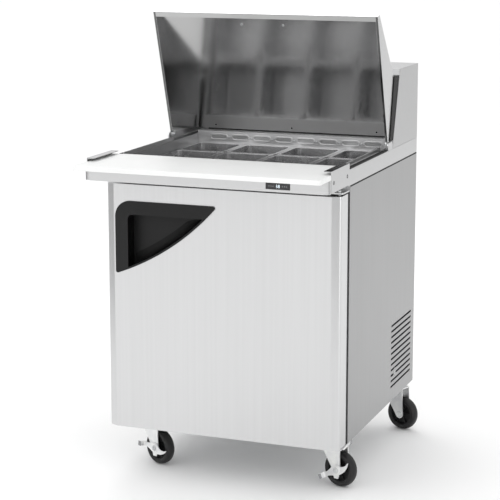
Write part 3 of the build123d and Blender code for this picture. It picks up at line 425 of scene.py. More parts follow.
def make_materials():
    """Every finish that the pieces use."""
    brushed("front_steel", "z", FRONT_STEEL, 0.32)
    # Side panels and louvre lips: the front steel painted darker, painted shade for faces turned from the
    # light.
    brushed("side_steel_painted_shade", "z", SHADED_SIDE_STEEL, 0.34)
    # Painted shade on the rail's side faces.
    brushed("rail_steel", "x", shade(FRONT_STEEL, 0.96), 0.30, [("X", RAIL_SIDE, OUTSIDE, 0.85)])
    brushed("duct_steel", "x", (0.74, 0.74, 0.745), 0.38)
    # Painted shade on the hood's side faces.
    brushed("hood_steel", "x", FRONT_STEEL, 0.30, [("X", RAIL_SIDE, OUTSIDE, 0.70)])
    # Lid: the front steel painted lighter, a painted highlight for its lip, with painted shade on its side
    # faces.
    brushed("lid_steel_painted_light", "x", shade(FRONT_STEEL, 1.12), 0.26, [("X", LID_SIDE, OUTSIDE, 0.78)])
    # Liner cheeks: a painted highlight on their edge, painted shade beyond it.
    painted_cheek_light = [("X", *CHEEK_HIGHLIGHT_BAND, 1.35), ("X", CHEEK_HIGHLIGHT_BAND[1], OUTSIDE, 0.30)]
    polished("mirror_steel", (0.455, 0.455, 0.455), 0.15, painted_cheek_light)
    polished("bright_steel", (0.60, 0.60, 0.605), 0.06)
    deep_drawn("pan_steel", (0.58, 0.58, 0.585))
    zinc("zinc", (0.88, 0.885, 0.90))
    zinc("hardware", (0.70, 0.71, 0.73))
    zinc("galvanised", (0.60, 0.61, 0.63))
    moulded("black_plastic", (0.008, 0.008, 0.0085), 0.44)
    # Painted shade: the handle near-black inside its finger recess.
    moulded("handle_plastic", (0.0080, 0.0080, 0.0083), 0.42, painted_light_zones=[("Y", *RECESS_SHADE_BAND, 0.12)])
    # Near-black for painted shade in gaps, seams and recesses.
    moulded("painted_shade_black", (0.0015, 0.0015, 0.0015), 0.60)
    moulded("black_rubber", (0.016, 0.016, 0.016), 0.62, 1400.0)
    moulded("gasket_vinyl", (0.055, 0.055, 0.058), 0.50, 900.0)
    moulded("black_enamel", (0.020, 0.020, 0.021), 0.30, 500.0, 0.00004)
    moulded("coated_wire", (0.74, 0.75, 0.75), 0.36, 700.0, 0.00005)
    brushed("shadow_steel", "y", (0.16, 0.16, 0.165), 0.42)
    moulded("breaker", (0.30, 0.30, 0.31), 0.44, 1100.0)
    tread_rubber()
    board_plastic()
    stucco_aluminium()
    foam_plastic()
    gloss_lens()
    lit_segments()
    copper_tube()
    fin_metal()


FINISH = {
    "side_steel_painted_shade": "side_panel_left side_panel_right",
    "galvanised": "back_panel base_panel",
    "foam_cream": "insulation door_core",
    "stucco_aluminium": "inner_liner door_liner",
    "breaker": "throat_frame",
    "rail_steel": "top_rail front_apron board_brackets hinge_brackets",
    "duct_steel": "air_duct",
    "pan_steel": "pan_bars",
    "display_gloss": "control_display",
    "board_white": "cutting_board",
    "hardware": "screws lid_pins door_hinge_pins",
    "hood_steel": "hood_shell",
    "black_rubber": "lid_rubbers",
    "lid_steel_painted_light": "lid_shell",
    "mirror_steel": "lid_liner",
    "front_steel": "door_skin",
    "gasket_vinyl": "door_gasket",
    "handle_plastic": "door_handle",
    "zinc": "shelf_supports caster_plates",
    "coated_wire": "wire_shelf",
    "black_enamel": "compressor fan_motors",
    "fin_aluminium": "condenser_coil evaporator_coil",
    "black_plastic": "condenser_fan evaporator_fan power_inlet",
    "copper": "refrigerant_lines",
}
EDGES = {
    "door_skin": 0.9, "side_panel_left": 0.5, "side_panel_right": 0.35, "hood_shell": 0.8, "lid_shell": 0.7,
    "top_rail": 0.7, "front_apron": 0.8, "board_brackets": 0.4, "cutting_board": 0.4, "door_handle": 1.2,
    "lid_liner": 0.3, "caster_plates": 0.6, "throat_frame": 1.5,
}
FINISH_OF = {node: finish for finish, nodes in FINISH.items() for node in nodes.split()}
FINISH_BY_START = {"pan_": "pan_steel", "fork_": "zinc", "brake_": "zinc", "wheel_": "wheel_rubber"}


def finish_of(node):
    """The material of a CAD node."""
    if node in FINISH_OF:
        return MATERIALS[FINISH_OF[node]]
    return next(MATERIALS[FINISH_BY_START[start]] for start in FINISH_BY_START if node.startswith(start))


def dress_nodes():
    """Give every CAD node its material."""
    for name, node in NODES.items():
        node.data.materials.clear()
        node.data.materials.append(finish_of(name))
        node.data.shade_smooth()
        soften(node, EDGES.get(name, 0.5) * MM, weld=True)


# ---- sizes that the frame's boxes don't give ----
SCREW_ROW = (-0.358, -0.243)  # bracket screws, front and rear
SCREW_Z = 0.900
REAR_SCREWS_X = (-0.325, -0.11, 0.11, 0.325)
REAR_SCREWS_Z = (0.162, 0.855)  # along the foot and the top of the back panel
REAR_EDGE_X = 0.336  # down its upright edges
REAR_EDGE_Z = (0.30, 0.46, 0.62)
SLOT_COUNT = 7  # duct screws, one beside each oblong slot
SLOT_PITCH = 0.071
SLOT_Z = 0.904
LOUVRE_ROWS = 12
LOUVRE_PITCH = 0.017
LOUVRE_FRONT = 0.221
LOUVRE_BACK = 0.434
LOUVRE_BOTTOM = 0.188
LOUVRE_SLOT = 0.007
LOUVRE_BOSS = (0.262, 0.229)
LOUVRE_CORNER = (0.2235, 0.3935)
GASKET_RIBS = 66
GASKET_BACK = 0.146
GASKET_INNER = 0.3345
HOOD_STRIP_X = 0.3414
HOOD_STRIP = ((0.1815, 0.9375), (0.2185, 1.1245), (0.2655, 1.120), (0.2105, 0.9375))
BUMPER_HALF = 0.3
BUMPER_FRONT = 0.3683
BUMPER_BACK = 0.3837
DISPLAY_Z = 0.8885
TOP_PLATE = 0.857
TOP_PLATE_FRONT_BOLT_Z = 0.8625
LID_FOOT = Vector((0, 0.3684, 0.9254))  # rear edge of the open lid's inner face
LID_HEAD = Vector((0, 0.0682, 1.2933))  # its front edge, at the top when open
LID_STUDS_X = (-0.078, 0.048)
LID_STUD_DROP = 0.030  # below the front edge
LID_PLUGS_X = (-0.27, -0.02, 0.25)
LID_PLUG_RISE = 0.016  # above the rear edge
LID_NUT_X = 0.3358
HANDLE_BOW = 0.024  # rise of the handle's bowed edge over its chord
RECESS_FILLET = 0.026
RECESS_START = 0.165  # where the fillet starts and ends, as shares of the chord
RECESS_END = 0.80
RECESS_TAPER = 0.16
LEVER_ANGLE = {"front_right": 208.0, "front_left": 174.0}
LEVER_PLANE = 21.3  # mm from the wheel's middle
CASTERS = ("front_right", "front_left", "rear_right", "rear_left")
CASTER_BOLTS = (35, 20)  # mm from the king pin, across and along
CASTER_BOLT_Z = 0.144
GLAND = (-0.285, 0.25)
RIBS_Z = (0.44, 0.60, 0.76)  # folded ribs across the back panel
RIB_SIZE = (0.52, 0.030)
BEADS_X = (-0.13, 0.0, 0.13)  # pressed beads along the base panel
BEAD_SIZE = (0.032, 0.44)
BEAD_Y = 0.12
DRAIN_Y = -0.12


# ---- mesh building ----
def mm(*points):
    """Points given in millimetres, in metres."""
    return [tuple(value * MM for value in point) for point in points]


class Build:
    """Collects the shells of one piece, in metres."""

    def __init__(self):
        self.mesh = bmesh.new()

    def strip(self, rings):
        """Faces between neighbouring closed rings of vertices."""
        for lower, upper in zip(rings, rings[1:]):
            for k, corner in enumerate(lower):
                after = (k + 1) % len(lower)
                self.mesh.faces.new((corner, lower[after], upper[after], upper[k]))

    def bar(self, rings):
        """Faces between neighbouring closed rings, and one over each end."""
        self.strip(rings)
        self.mesh.faces.new(list(reversed(rings[0])))
        self.mesh.faces.new(rings[-1])

    def rings(self, place, profile, turns):
        """Rings of vertices where a (radius, height) profile turns about the place's Z axis."""
        rings = []
        for radius, height in profile:
            ring = []
            for k in range(turns):
                angle = 2 * math.pi * k / turns
                spot = Vector((radius * math.cos(angle), radius * math.sin(angle), height))
                ring.append(self.mesh.verts.new(place @ spot))
            rings.append(ring)
        return rings

    def lathe(self, place, profile, turns=40):
        """A (radius, height) profile turned about the place's Z axis and capped at both ends."""
        self.bar(self.rings(place, profile, turns))

    def hoop(self, place, profile, turns=40):
        """A closed (radius, height) outline turned about the place's Z axis into a ring."""
        rings = self.rings(place, profile, turns)
        self.strip(rings + rings[:1])

    def plate(self, place, outline, thick):
        """A local (x, y) outline drawn out along the place's Z axis."""
        low = [self.mesh.verts.new(place @ Vector((x, y, 0))) for x, y in outline]
        high = [self.mesh.verts.new(place @ Vector((x, y, thick))) for x, y in outline]
        self.bar([low, high])

    def block(self, low, high):
        """A box between two corners."""
        (x0, y0, z0), (x1, y1, z1) = low, high
        outline = [(x0, y0), (x1, y0), (x1, y1), (x0, y1)]
        self.plate(Matrix.Translation((0, 0, z0)), outline, z1 - z0)

    def pipe(self, points, radius, closed=False, sides=8):
        """A round bar along a line of points."""
        points = [Vector(point) for point in points]
        count = len(points)
        rings = []
        normal = None
        for k, point in enumerate(points):
            after = points[(k + 1) % count] if closed or k + 1 < count else point
            before = points[k - 1] if closed or k else point
            along = (after - before).normalized()
            if normal is None:
                normal = along.orthogonal().normalized()
            normal = (normal - along * normal.dot(along)).normalized()
            across = along.cross(normal)
            ring = []
            for side in range(sides):
                angle = 2 * math.pi * side / sides
                offset = (normal * math.cos(angle) + across * math.sin(angle)) * radius
                ring.append(self.mesh.verts.new(point + offset))
            rings.append(ring)
        if closed:
            self.strip(rings + rings[:1])
        else:
            self.bar(rings)

    def copy(self, mesh, place):
        """A finished mesh, put at a place."""
        start = len(self.mesh.verts)
        self.mesh.from_mesh(mesh)
        self.mesh.verts.ensure_lookup_table()
        bmesh.ops.transform(self.mesh, matrix=place, verts=self.mesh.verts[start:])

    def done(self, name, finish, body, bevel=0.0, sharp=35.0):
        """The finished piece, riding on its body, with smooth faces and crisp edges."""
        bmesh.ops.recalc_face_normals(self.mesh, faces=self.mesh.faces)
        limit = math.radians(sharp)
        for face in self.mesh.faces:
            face.smooth = True
        for edge in self.mesh.edges:
            edge.smooth = len(edge.link_faces) == 2 and edge.calc_face_angle(0.0) < limit
        data = bpy.data.meshes.new(name)
        self.mesh.to_mesh(data)
        self.mesh.free()
        data.materials.append(MATERIALS[finish])
        made = add_object(name, data)
        if bevel:
            soften(made, bevel)
        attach(made, body)
        return made


def soften(made, width, weld=False):
    """Small rounded edges that catch the light."""
    if weld:
        merge = made.modifiers.new("weld", "WELD")
        merge.merge_threshold = 0.00001
    edges = made.modifiers.new("bevel", "BEVEL")
    edges.width = width
    edges.segments = 2
    edges.limit_method = "ANGLE"
    edges.angle_limit = math.radians(32)
    shading = made.modifiers.new("shading", "WEIGHTED_NORMAL")
    shading.keep_sharp = False


def facing(origin, direction, up=UP):
    """A place whose Z axis points along direction and whose Y axis is near up."""
    z = Vector(direction).normalized()
    x = Vector(up).cross(z)
    x = x.normalized() if x.length > 1e-6 else z.orthogonal().normalized()
    y = z.cross(x)
    turn = Matrix((x, y, z)).transposed().to_4x4()
    return Matrix.Translation(origin) @ turn


def polygon(radius, sides):
    """Corners of a regular polygon."""
    angles = [2 * math.pi * k / sides for k in range(sides)]
    return [(radius * math.cos(a), radius * math.sin(a)) for a in angles]


def rounded(width, height, radius):
    """Outline of a rectangle with rounded corners."""
    steps = 6
    points = []
    for quarter, (sx, sy) in enumerate([(1, 1), (-1, 1), (-1, -1), (1, -1)]):
        cx = sx * (width / 2 - radius)
        cy = sy * (height / 2 - radius)
        for k in range(steps + 1):
            angle = math.pi / 2 * (quarter + k / steps)
            points.append((cx + radius * math.cos(angle), cy + radius * math.sin(angle)))
    return points


def smooth_loop(points, steps):
    """A closed Catmull-Rom line through (x, y) points."""
    count = len(points)
    line = []
    for k in range(count):
        a, b, c, d = (Vector((*points[(k + j) % count], 0)) for j in (-1, 0, 1, 2))
        for step in range(steps):
            t = step / steps
            bend = (2 * a - 5 * b + 4 * c - d) * t**2
            twist = (3 * b - a - 3 * c + d) * t**3
            spot = 0.5 * (2 * b + (c - a) * t + bend + twist)
            line.append((spot.x, spot.y))
    return line


# ---- fasteners ----
def cross_head(radius, height):
    """Mesh of a domed screw head with a cross recess, its base at the origin."""
    dome = Build()
    profile = [(radius * 0.98, 0.0), (radius, height * 0.25)]
    for k in range(1, 7):
        angle = math.pi / 2 * k / 7
        profile.append((radius * math.cos(angle), height * (0.25 + 0.75 * math.sin(angle))))
    profile.append((radius * 0.05, height))
    dome.lathe(Matrix.Identity(4), profile, 28)
    slot = Build()
    arm = radius * 0.62
    wide = radius * 0.15
    cross = [(wide, wide), (arm, wide), (arm, -wide), (wide, -wide), (wide, -arm), (-wide, -arm),
             (-wide, -wide), (-arm, -wide), (-arm, wide), (-wide, wide), (-wide, arm), (wide, arm)]
    slot.plate(Matrix.Translation((0, 0, height * 0.35)), cross, height)
    return carved(dome, slot)


def carved(body, cutter):
    """The mesh of one build with another cut out of it."""
    objects = []
    for build in (body, cutter):
        bmesh.ops.recalc_face_normals(build.mesh, faces=build.mesh.faces)
        data = bpy.data.meshes.new("carving")
        build.mesh.to_mesh(data)
        build.mesh.free()
        objects.append(add_object("carving", data))
    target, tool = objects
    cut = target.modifiers.new("cut", "BOOLEAN")
    cut.object = tool
    cut.solver = "EXACT"
    view = bpy.context.evaluated_depsgraph_get()
    mesh = bpy.data.meshes.new_from_object(target.evaluated_get(view))
    for made in objects:
        bpy.data.objects.remove(made)
    return mesh


def hex_bolt(build, place, size, height):
    """A chamfered hexagon head on a washer."""
    build.lathe(place, [(size * 1.12, 0), (size * 1.15, height * 0.12), (size * 1.12, height * 0.24)], 32)
    build.plate(place @ Matrix.Translation((0, 0, height * 0.24)), polygon(size, 6), height * 0.76)


def make_screws():
    """Cross-head screws in place of the plain ones, and those of the back panel and the hood."""
    low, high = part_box("screws")
    heads = Build()
    small = cross_head(3.1 * MM, 1.5 * MM)
    for x, side in ((low.x, -1), (high.x, 1)):
        for y in SCREW_ROW:
            heads.copy(small, facing((x - side * 1.35 * MM, y, SCREW_Z), (side, 0, 0)))
    duct_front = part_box("air_duct")[0].y
    for k in range(SLOT_COUNT):
        x = (k - SLOT_COUNT // 2) * SLOT_PITCH
        heads.copy(small, facing((x, duct_front + 0.1 * MM, SLOT_Z), FRONT))
    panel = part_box("side_panel_right")[1].x
    large = cross_head(4.4 * MM, 2.0 * MM)
    for y, z in (LOUVRE_BOSS, LOUVRE_CORNER):
        heads.copy(large if y == LOUVRE_BOSS[0] else small, facing((panel - 0.05 * MM, y, z), RIGHT))
    screws = heads.done("screw_heads", "hardware", "cabinet", sharp=40)
    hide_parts("screws")
    rear = Build()
    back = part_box("back_panel")[1].y
    hood_low, hood_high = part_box("hood_shell")
    for x in REAR_SCREWS_X:
        for z in REAR_SCREWS_Z:
            rear.copy(small, facing((x, back, z), BACK))
        rear.copy(small, facing((x, hood_high.y - 1.45 * MM, hood_low.z + 14 * MM), BACK))
    for z in REAR_EDGE_Z:
        for x in (-REAR_EDGE_X, REAR_EDGE_X):
            rear.copy(small, facing((x, back, z), BACK))
    rear.done("rear_screws", "hardware", "cabinet", sharp=40)


# ---- rail, display and louvres ----
def make_lid_rubbers():
    """Ribbed sealing strips on the side rails, the strips beside the hood and the rear bumper."""
    low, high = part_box("lid_rubbers")
    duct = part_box("air_duct")[1]
    rail_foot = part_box("top_rail")[0].z
    top = rail_foot + 49.6 * MM
    base = rail_foot + 44.4 * MM
    strips = Build()
    for side in (-1, 1):
        inner = side * GASKET_INNER
        outer = side * high.x
        rings = []
        count = 2 * GASKET_RIBS
        for k in range(count + 1):
            y = low.y + (GASKET_BACK - low.y) * k / count
            crest = top if k % 2 == 0 else top - 2.2 * MM
            shoulder = crest - 1 * MM
            round_off = side * 1.2 * MM
            corners = [(inner, base), (outer, base), (outer, shoulder), (outer - round_off, crest),
                       (inner + round_off, crest), (inner, shoulder)]
            rings.append([strips.mesh.verts.new((x, y, z)) for x, z in corners])
        strips.bar(rings)
        place = Matrix(((0, 0, 1, side * HOOD_STRIP_X), (1, 0, 0, 0), (0, 1, 0, 0), (0, 0, 0, 1)))
        strips.plate(place, HOOD_STRIP, side * 2 * MM)
    for k in range(5):
        y = BUMPER_FRONT + (0.2 + k * 3.0) * MM
        strips.block((-BUMPER_HALF, y, duct.z), (BUMPER_HALF, y + 2.0 * MM, duct.z + 2.8 * MM))
    strips.block((-BUMPER_HALF, BUMPER_FRONT, duct.z), (BUMPER_HALF, BUMPER_BACK, duct.z + 1.2 * MM))
    piece = strips.done("lid_seals", "black_rubber", "cabinet", sharp=25)
    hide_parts("lid_rubbers")


def make_bracket_caps():
    """Polished face on top of the right board bracket, and near-black slivers in the apron's end joints,
    painted shade of the seams.
    """
    low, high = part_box("board_brackets")
    cap = Build()
    centre = Vector((high.x - 11 * MM, (low.y + high.y) / 2, high.z))
    cap.plate(Matrix.Translation(centre), rounded(21 * MM, high.y - low.y - 1.2 * MM, 5 * MM), 0.15 * MM)
    cap.done("bracket_cap", "bright_steel", "cabinet")
    joints = Build()
    apron_low, apron_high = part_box("front_apron")
    for x in (apron_low.x, apron_high.x):
        joints.block((x - 0.06 * MM, low.y - 1.6 * MM, apron_low.z + 0.3 * MM),
                     (x + 0.06 * MM, low.y - 0.1 * MM, apron_high.z - 0.2 * MM))
    joints.done("apron_joints", "painted_shade_black", "cabinet")
    # Black rubber rings round the bracket screws, dark to paint the shade of the holes the heads sit in.
    seats = Build()
    for x, side in ((low.x, -1), (high.x, 1)):
        for y in SCREW_ROW:
            spot = (x - side * 0.03 * MM, y, SCREW_Z)
            seats.hoop(facing(spot, (side, 0, 0)), mm((2.9, 0), (5.2, 0), (5.2, 0.12), (2.9, 0.12)), 32)
    seats.done("screw_seats", "black_rubber", "cabinet")


def make_rail_seal():
    """Seal line between the topping rail and the side panels, near-black: a seal, and painted shade of the
    gap it sits in.
    """
    seal = Build()
    for node, side in (("side_panel_left", -1), ("side_panel_right", 1)):
        low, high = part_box(node)
        x = high.x if side > 0 else low.x
        a, b = sorted((x - side * 2 * MM, x + side * 0.25 * MM))
        seal.block((a, low.y + 3 * MM, high.z - 3.4 * MM), (b, high.y - 2 * MM, high.z + 0.55 * MM))
    seal.done("rail_seals", "painted_shade_black", "cabinet")


SEGMENTS = {
    "top": ((-1, 2), (1, 2)), "middle": ((-1, 0), (1, 0)), "bottom": ((-1, -2), (1, -2)),
    "upper_left": ((-1, 0), (-1, 2)), "upper_right": ((1, 0), (1, 2)),
    "lower_left": ((-1, -2), (-1, 0)), "lower_right": ((1, -2), (1, 0)),
}
DIGITS = {
    "3": ("top", "middle", "bottom", "upper_right", "lower_right"),
    "8": tuple(SEGMENTS),
}


def make_display():
    """Two seven-segment digits behind the lens and a row of three keys beside them."""
    low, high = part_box("control_display")
    middle = Vector(((low.x + high.x) / 2, low.y, DISPLAY_Z))
    digits = Build()
    half = 1.75 * MM
    for index, digit in enumerate("38"):
        centre = middle + Vector(((index - 0.5) * 6.4 * MM, 0.1 * MM, 0))
        for name in DIGITS[digit]:
            (x0, z0), (x1, z1) = SEGMENTS[name]
            along = Vector((x1 - x0, 0, z1 - z0)).normalized()
            start = centre + Vector((x0 * half, 0, z0 * half)) + along * 0.35 * MM
            end = centre + Vector((x1 * half, 0, z1 * half)) - along * 0.35 * MM
            across = Vector((along.z, 0, -along.x)) * 0.42 * MM
            tip = along * 0.42 * MM
            corners = [start, start + tip + across, end - tip + across,
                       end, end - tip - across, start + tip - across]
            front = [digits.mesh.verts.new(point) for point in corners]
            back = [digits.mesh.verts.new(point + Vector((0, 0.12 * MM, 0))) for point in corners]
            digits.bar([back, front])
    digits.done("display_digits", "digit_glow", "cabinet")
    keys = Build()
    for k in range(3):
        for side in (-1, 1):
            spot = middle + Vector((side * (13 + k * 5.5) * MM, 0.12 * MM, 0))
            keys.lathe(facing(spot, FRONT), mm((1.3, -0.1), (1.3, 0.1), (1.0, 0.2)), 20)
    keys.done("display_keys", "breaker", "cabinet", sharp=30)


def make_louvres():
    """Slanted blades folded in behind the slots of the right side panel."""
    blades = Build()
    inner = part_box("side_panel_right")[1].x - 1.3 * MM
    for row in range(LOUVRE_ROWS):
        z = LOUVRE_BOTTOM + row * LOUVRE_PITCH + LOUVRE_SLOT
        section = [(inner, z + 1.6 * MM), (inner, z + 0.2 * MM),
                   (inner - 9 * MM, z - 8.2 * MM), (inner - 10 * MM, z - 7.6 * MM)]
        near = [blades.mesh.verts.new((x, LOUVRE_FRONT, height)) for x, height in section]
        far = [blades.mesh.verts.new((x, LOUVRE_BACK, height)) for x, height in section]
        blades.bar([near, far])
    blades.done("louvre_blades", "shadow_steel", "cabinet")


def make_louvre_edges():
    """Thin rolled lips along the slots, which catch the light."""
    lips = Build()
    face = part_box("side_panel_right")[1].x
    for row in range(LOUVRE_ROWS):
        low = LOUVRE_BOTTOM + row * LOUVRE_PITCH
        reach = LOUVRE_FRONT
        if abs(low + LOUVRE_SLOT / 2 - LOUVRE_BOSS[1]) < 13 * MM:
            reach = LOUVRE_BOSS[0] + 14 * MM
        for z in (low, low + LOUVRE_SLOT):
            lips.pipe([(face - 0.35 * MM, reach, z), (face - 0.35 * MM, LOUVRE_BACK, z)], 0.55 * MM)
    lips.done("louvre_lips", "side_steel_painted_shade", "cabinet", sharp=60)


# ---- lid ----
def lid_place(x, along):
    """A point on the open lid's inner face, along from its lower edge, and the way out of that face."""
    up = (LID_HEAD - LID_FOOT).normalized()
    out = Vector((0, -up.z, up.y))
    return LID_FOOT + up * along + Vector((x, 0, 0)), out


def make_lid_details():
    """Studs and screws on the lid's inner face, and the knuckles at its pivots."""
    studs = Build()
    for x in LID_STUDS_X:
        spot, out = lid_place(x, (LID_HEAD - LID_FOOT).length - LID_STUD_DROP)
        studs.lathe(facing(spot, out), mm((4.0, -1), (4.0, 1.0), (3.2, 2.4), (1.4, 3.0)), 28)
    studs.done("lid_studs", "hardware", "lid", sharp=40)
    dots = Build()
    for x in LID_PLUGS_X:
        spot, out = lid_place(x, LID_PLUG_RISE)
        dots.lathe(facing(spot, out), mm((2.6, -1), (2.6, 0.7), (1.8, 1.3)), 20)
    dots.done("lid_plugs", "black_plastic", "lid", sharp=40)
    nuts = Build()
    pin_low, pin_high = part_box("lid_pins")
    pivot = (pin_low + pin_high) / 2
    for side in (-1, 1):
        inwards = Vector((-side, 0, 0))
        spot = Vector((side * LID_NUT_X, pivot.y, pivot.z))
        nuts.lathe(facing(spot, inwards), mm((8.6, -0.2), (8.6, 0.8), (8.0, 1.1)), 32)
        nuts.plate(facing(spot + inwards * 1.1 * MM, inwards), polygon(6.4 * MM, 6), 3.4 * MM)
        nuts.lathe(facing(spot + inwards * 4.4 * MM, inwards), mm((3.4, 0), (3.4, 1.4), (2.4, 2.2)), 24)
    nuts.done("lid_pivot_nuts", "hardware", "lid", sharp=30)


# ---- door ----
def make_hinge_details():
    """Bolts and bushes on the hinge plates at the top and the bottom of the door."""
    low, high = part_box("door_hinge_pins")
    axis = (low + high) / 2
    plate_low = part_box("hinge_brackets")[0]
    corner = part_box("side_panel_right")[0]
    bolts = Build()
    for dx in (-24, -11):
        upright = (axis.x + dx * MM, axis.y + 12 * MM, TOP_PLATE)
        hex_bolt(bolts, facing(upright, UP, BACK), 4.6 * MM, 4.2 * MM)
    for dx in (-19, 0):
        x = axis.x + dx * MM
        hex_bolt(bolts, facing((x, axis.y - 2 * MM, TOP_PLATE), UP, BACK), 4.4 * MM, 5.0 * MM)
        hex_bolt(bolts, facing((x, axis.y + 60 * MM, plate_low.z), DOWN, BACK), 5.2 * MM, 4.4 * MM)
        front = (x, corner.y - 4 * MM, TOP_PLATE_FRONT_BOLT_Z)
        hex_bolt(bolts, facing(front, FRONT), 3.8 * MM, 3.2 * MM)
    bolts.done("hinge_bolts", "hardware", "cabinet", bevel=0.25 * MM, sharp=30)
    bushes = Build()
    ring = mm((4.3, 0), (8.2, 0), (8.2, 1.6), (7.4, 2.4), (4.3, 2.4))
    bushes.hoop(facing((axis.x, axis.y, TOP_PLATE - 4 * MM), DOWN, BACK), ring, 36)
    thin = [(radius, height * 0.16) for radius, height in ring]
    bushes.hoop(facing((axis.x, axis.y, plate_low.z + 4 * MM), UP, BACK), thin, 36)
    bushes.done("hinge_bushes", "black_plastic", "cabinet", sharp=30)


def make_handle_fillet():
    """Deep rounded corner along the bowed side of the finger recess, near-black as painted shade in the
    recess.
    """
    low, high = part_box("door_handle")
    foot = Vector((low.x, low.z))
    tip = Vector((high.x, high.z))
    chord = tip - foot
    inward = Vector((-chord.y, chord.x)).normalized()
    floor = high.y - 2.6 * MM
    fillet = Build()
    rings = []
    for k in range(33):
        t = RECESS_START + (RECESS_END - RECESS_START) * k / 32
        bow = HANDLE_BOW * 4 * t * (1 - t)
        edge = foot + chord * t - inward * (bow - 6.0 * MM)
        radius = RECESS_FILLET * min(1.0, 0.30 + (RECESS_END - t) / RECESS_TAPER)
        ring = []
        for step in range(9):
            angle = math.pi / 2 * step / 8
            away = radius * (1 - math.cos(angle))
            rise = radius * (1 - math.sin(angle))
            spot = edge + inward * away
            ring.append(fillet.mesh.verts.new((spot.x, floor - rise, spot.y)))
        corner = fillet.mesh.verts.new((edge.x, floor, edge.y))
        rings.append(ring + [corner])
    fillet.bar(rings)
    fillet.done("recess_fillet", "painted_shade_black", "door", sharp=50)


def make_hinge_foot():
    """Folded foot of the lower hinge plate under the cabinet's corner."""
    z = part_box("hinge_brackets")[0].z
    front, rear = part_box("side_panel_right")
    x = rear.x
    y = front.y
    foot = Build()
    foot.block((x - 19 * MM, y - 24 * MM, z - 7 * MM), (x - 1.5 * MM, y + 33 * MM, z + 0.2 * MM))
    foot.done("hinge_foot", "zinc", "cabinet", bevel=1.2 * MM)
    stop = Build()
    stop.block((x - 17 * MM, y + 31 * MM, z - 9.5 * MM), (x - 0.6 * MM, y + 45 * MM, z + 3.6 * MM))
    stop.done("hinge_stop", "breaker", "cabinet", bevel=1.0 * MM)


def make_gasket_bellows():
    """Bellows folds of the door gasket, replacing its plain section."""
    low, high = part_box("door_gasket")
    section = [(0.0, 0.0), (20.0, 0.0), (20.0, 2.6), (17.2, 3.4), (17.2, 5.4), (19.6, 6.4), (19.8, 9.6),
               (18.4, 11.0), (15.0, 11.4), (5.0, 11.4), (1.6, 11.0), (0.2, 9.6), (0.4, 6.4), (2.8, 5.4),
               (2.8, 3.4), (0.0, 2.6)]
    gasket = Build()
    rings = []
    for sx, sz in ((-1, -1), (1, -1), (1, 1), (-1, 1)):
        corner = Vector((low.x if sx < 0 else high.x, low.y, low.z if sz < 0 else high.z))
        ring = []
        for inward, out in section:
            ring.append(gasket.mesh.verts.new(corner + Vector((-sx * inward, out, -sz * inward)) * MM))
        rings.append(ring)
    gasket.strip(rings + rings[:1])
    piece = gasket.done("gasket_bellows", "gasket_vinyl", "door", bevel=0.5 * MM, sharp=20)
    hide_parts("door_gasket")


# ---- casters ----
TYRE_SEAT = 35.6  # radius in mm where the tyre sits on its centre
TYRE_OUTLINE = [
    (36.0, -12.6), (37.5, -13.4), (38.6, -14.1), (43.2, -14.4), (45.6, -14.0), (47.4, -12.6), (49.0, -9.6),
    (50.2, -5.4), (50.8, 0.0), (50.2, 5.4), (49.0, 9.6), (47.4, 12.6), (45.6, 14.0), (43.2, 14.4),
    (38.6, 14.1), (37.5, 13.4), (36.0, 12.6), (TYRE_SEAT, 4.0), (TYRE_SEAT, -4.0),
]
WEB_OUTLINE = [
    (4.3, 15.6), (9.6, 15.6), (10.6, 14.6), (11.4, 5.0), (14.0, 3.4), (30.0, 3.4), (32.0, 5.0), (33.0, 12.4),
    (TYRE_SEAT, 12.8), (TYRE_SEAT, -12.8), (33.0, -12.4), (32.0, -5.0), (30.0, -3.4), (14.0, -3.4),
    (11.4, -5.0), (10.6, -14.6), (9.6, -15.6), (4.3, -15.6),
]


def wheel_frame(name):
    """Place of a wheel: its axle along the local Z axis."""
    joint = JOINTS["roll_" + name]
    return facing(joint["pos_m"], joint["axis"])


def make_wheel(name):
    """Rubber tyre with a crowned tread, and a ribbed centre on its hub."""
    place = wheel_frame(name)
    tyre = Build()
    tyre.hoop(place, mm(*TYRE_OUTLINE), 96)
    tread = tyre.done("tyre_" + name, "wheel_rubber", "wheel_" + name, sharp=38)
    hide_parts("wheel_" + name)
    centre = Build()
    centre.hoop(place, mm(*WEB_OUTLINE), 72)
    for k in range(6):
        spoke = place @ Matrix.Rotation(k * math.pi / 3, 4, "Z")
        outline = mm((10.5, -1.2), (32.6, -1.6), (32.6, 1.6), (10.5, 1.2))
        centre.plate(spoke @ Matrix.Translation((0, 0, -9.5 * MM)), outline, 19 * MM)
    centre.done("wheel_centre_" + name, "black_plastic", "wheel_" + name,
                bevel=0.3 * MM, sharp=30)


def make_swivel(name):
    """Raceway cap and grease seal on top of a fork, and its axle washers."""
    pivot = Vector(JOINTS["swivel_" + name]["pos_m"])
    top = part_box("fork_" + name)[1].z
    race = Build()
    lower = facing((pivot.x, pivot.y, top - 10.0 * MM), UP, BACK)
    race.hoop(lower, mm((27.05, 0.6), (28.6, 1.4), (29.4, 4.0), (28.8, 7.2), (27.05, 8.6)), 56)
    race.done("race_ring_" + name, "zinc", "fork_" + name, sharp=40)
    upper = Build()
    cap = mm((6.5, 134.2), (25.6, 134.2), (26.6, 135.4), (26.0, 139.0), (22.0, 143.6), (6.5, 143.6))
    upper.hoop(Matrix.Translation((pivot.x, pivot.y, 0)), cap, 56)
    upper.done("race_cap_" + name, "zinc", "cabinet", sharp=35)
    washers = Build()
    hub = Vector(JOINTS["roll_" + name]["pos_m"])
    axis = Vector(JOINTS["roll_" + name]["axis"]).normalized()
    for side in (-1,) if "lever_" + name in JOINTS else (1, -1):
        spot = hub + axis * side * 20.55 * MM
        washer = mm((7.0, 0), (9.6, 0), (9.6, 0.9), (9.0, 1.2), (7.0, 1.2))
        washers.hoop(facing(spot, axis * side), washer, 40)
    washers.done("axle_washers_" + name, "hardware", "fork_" + name, sharp=35)


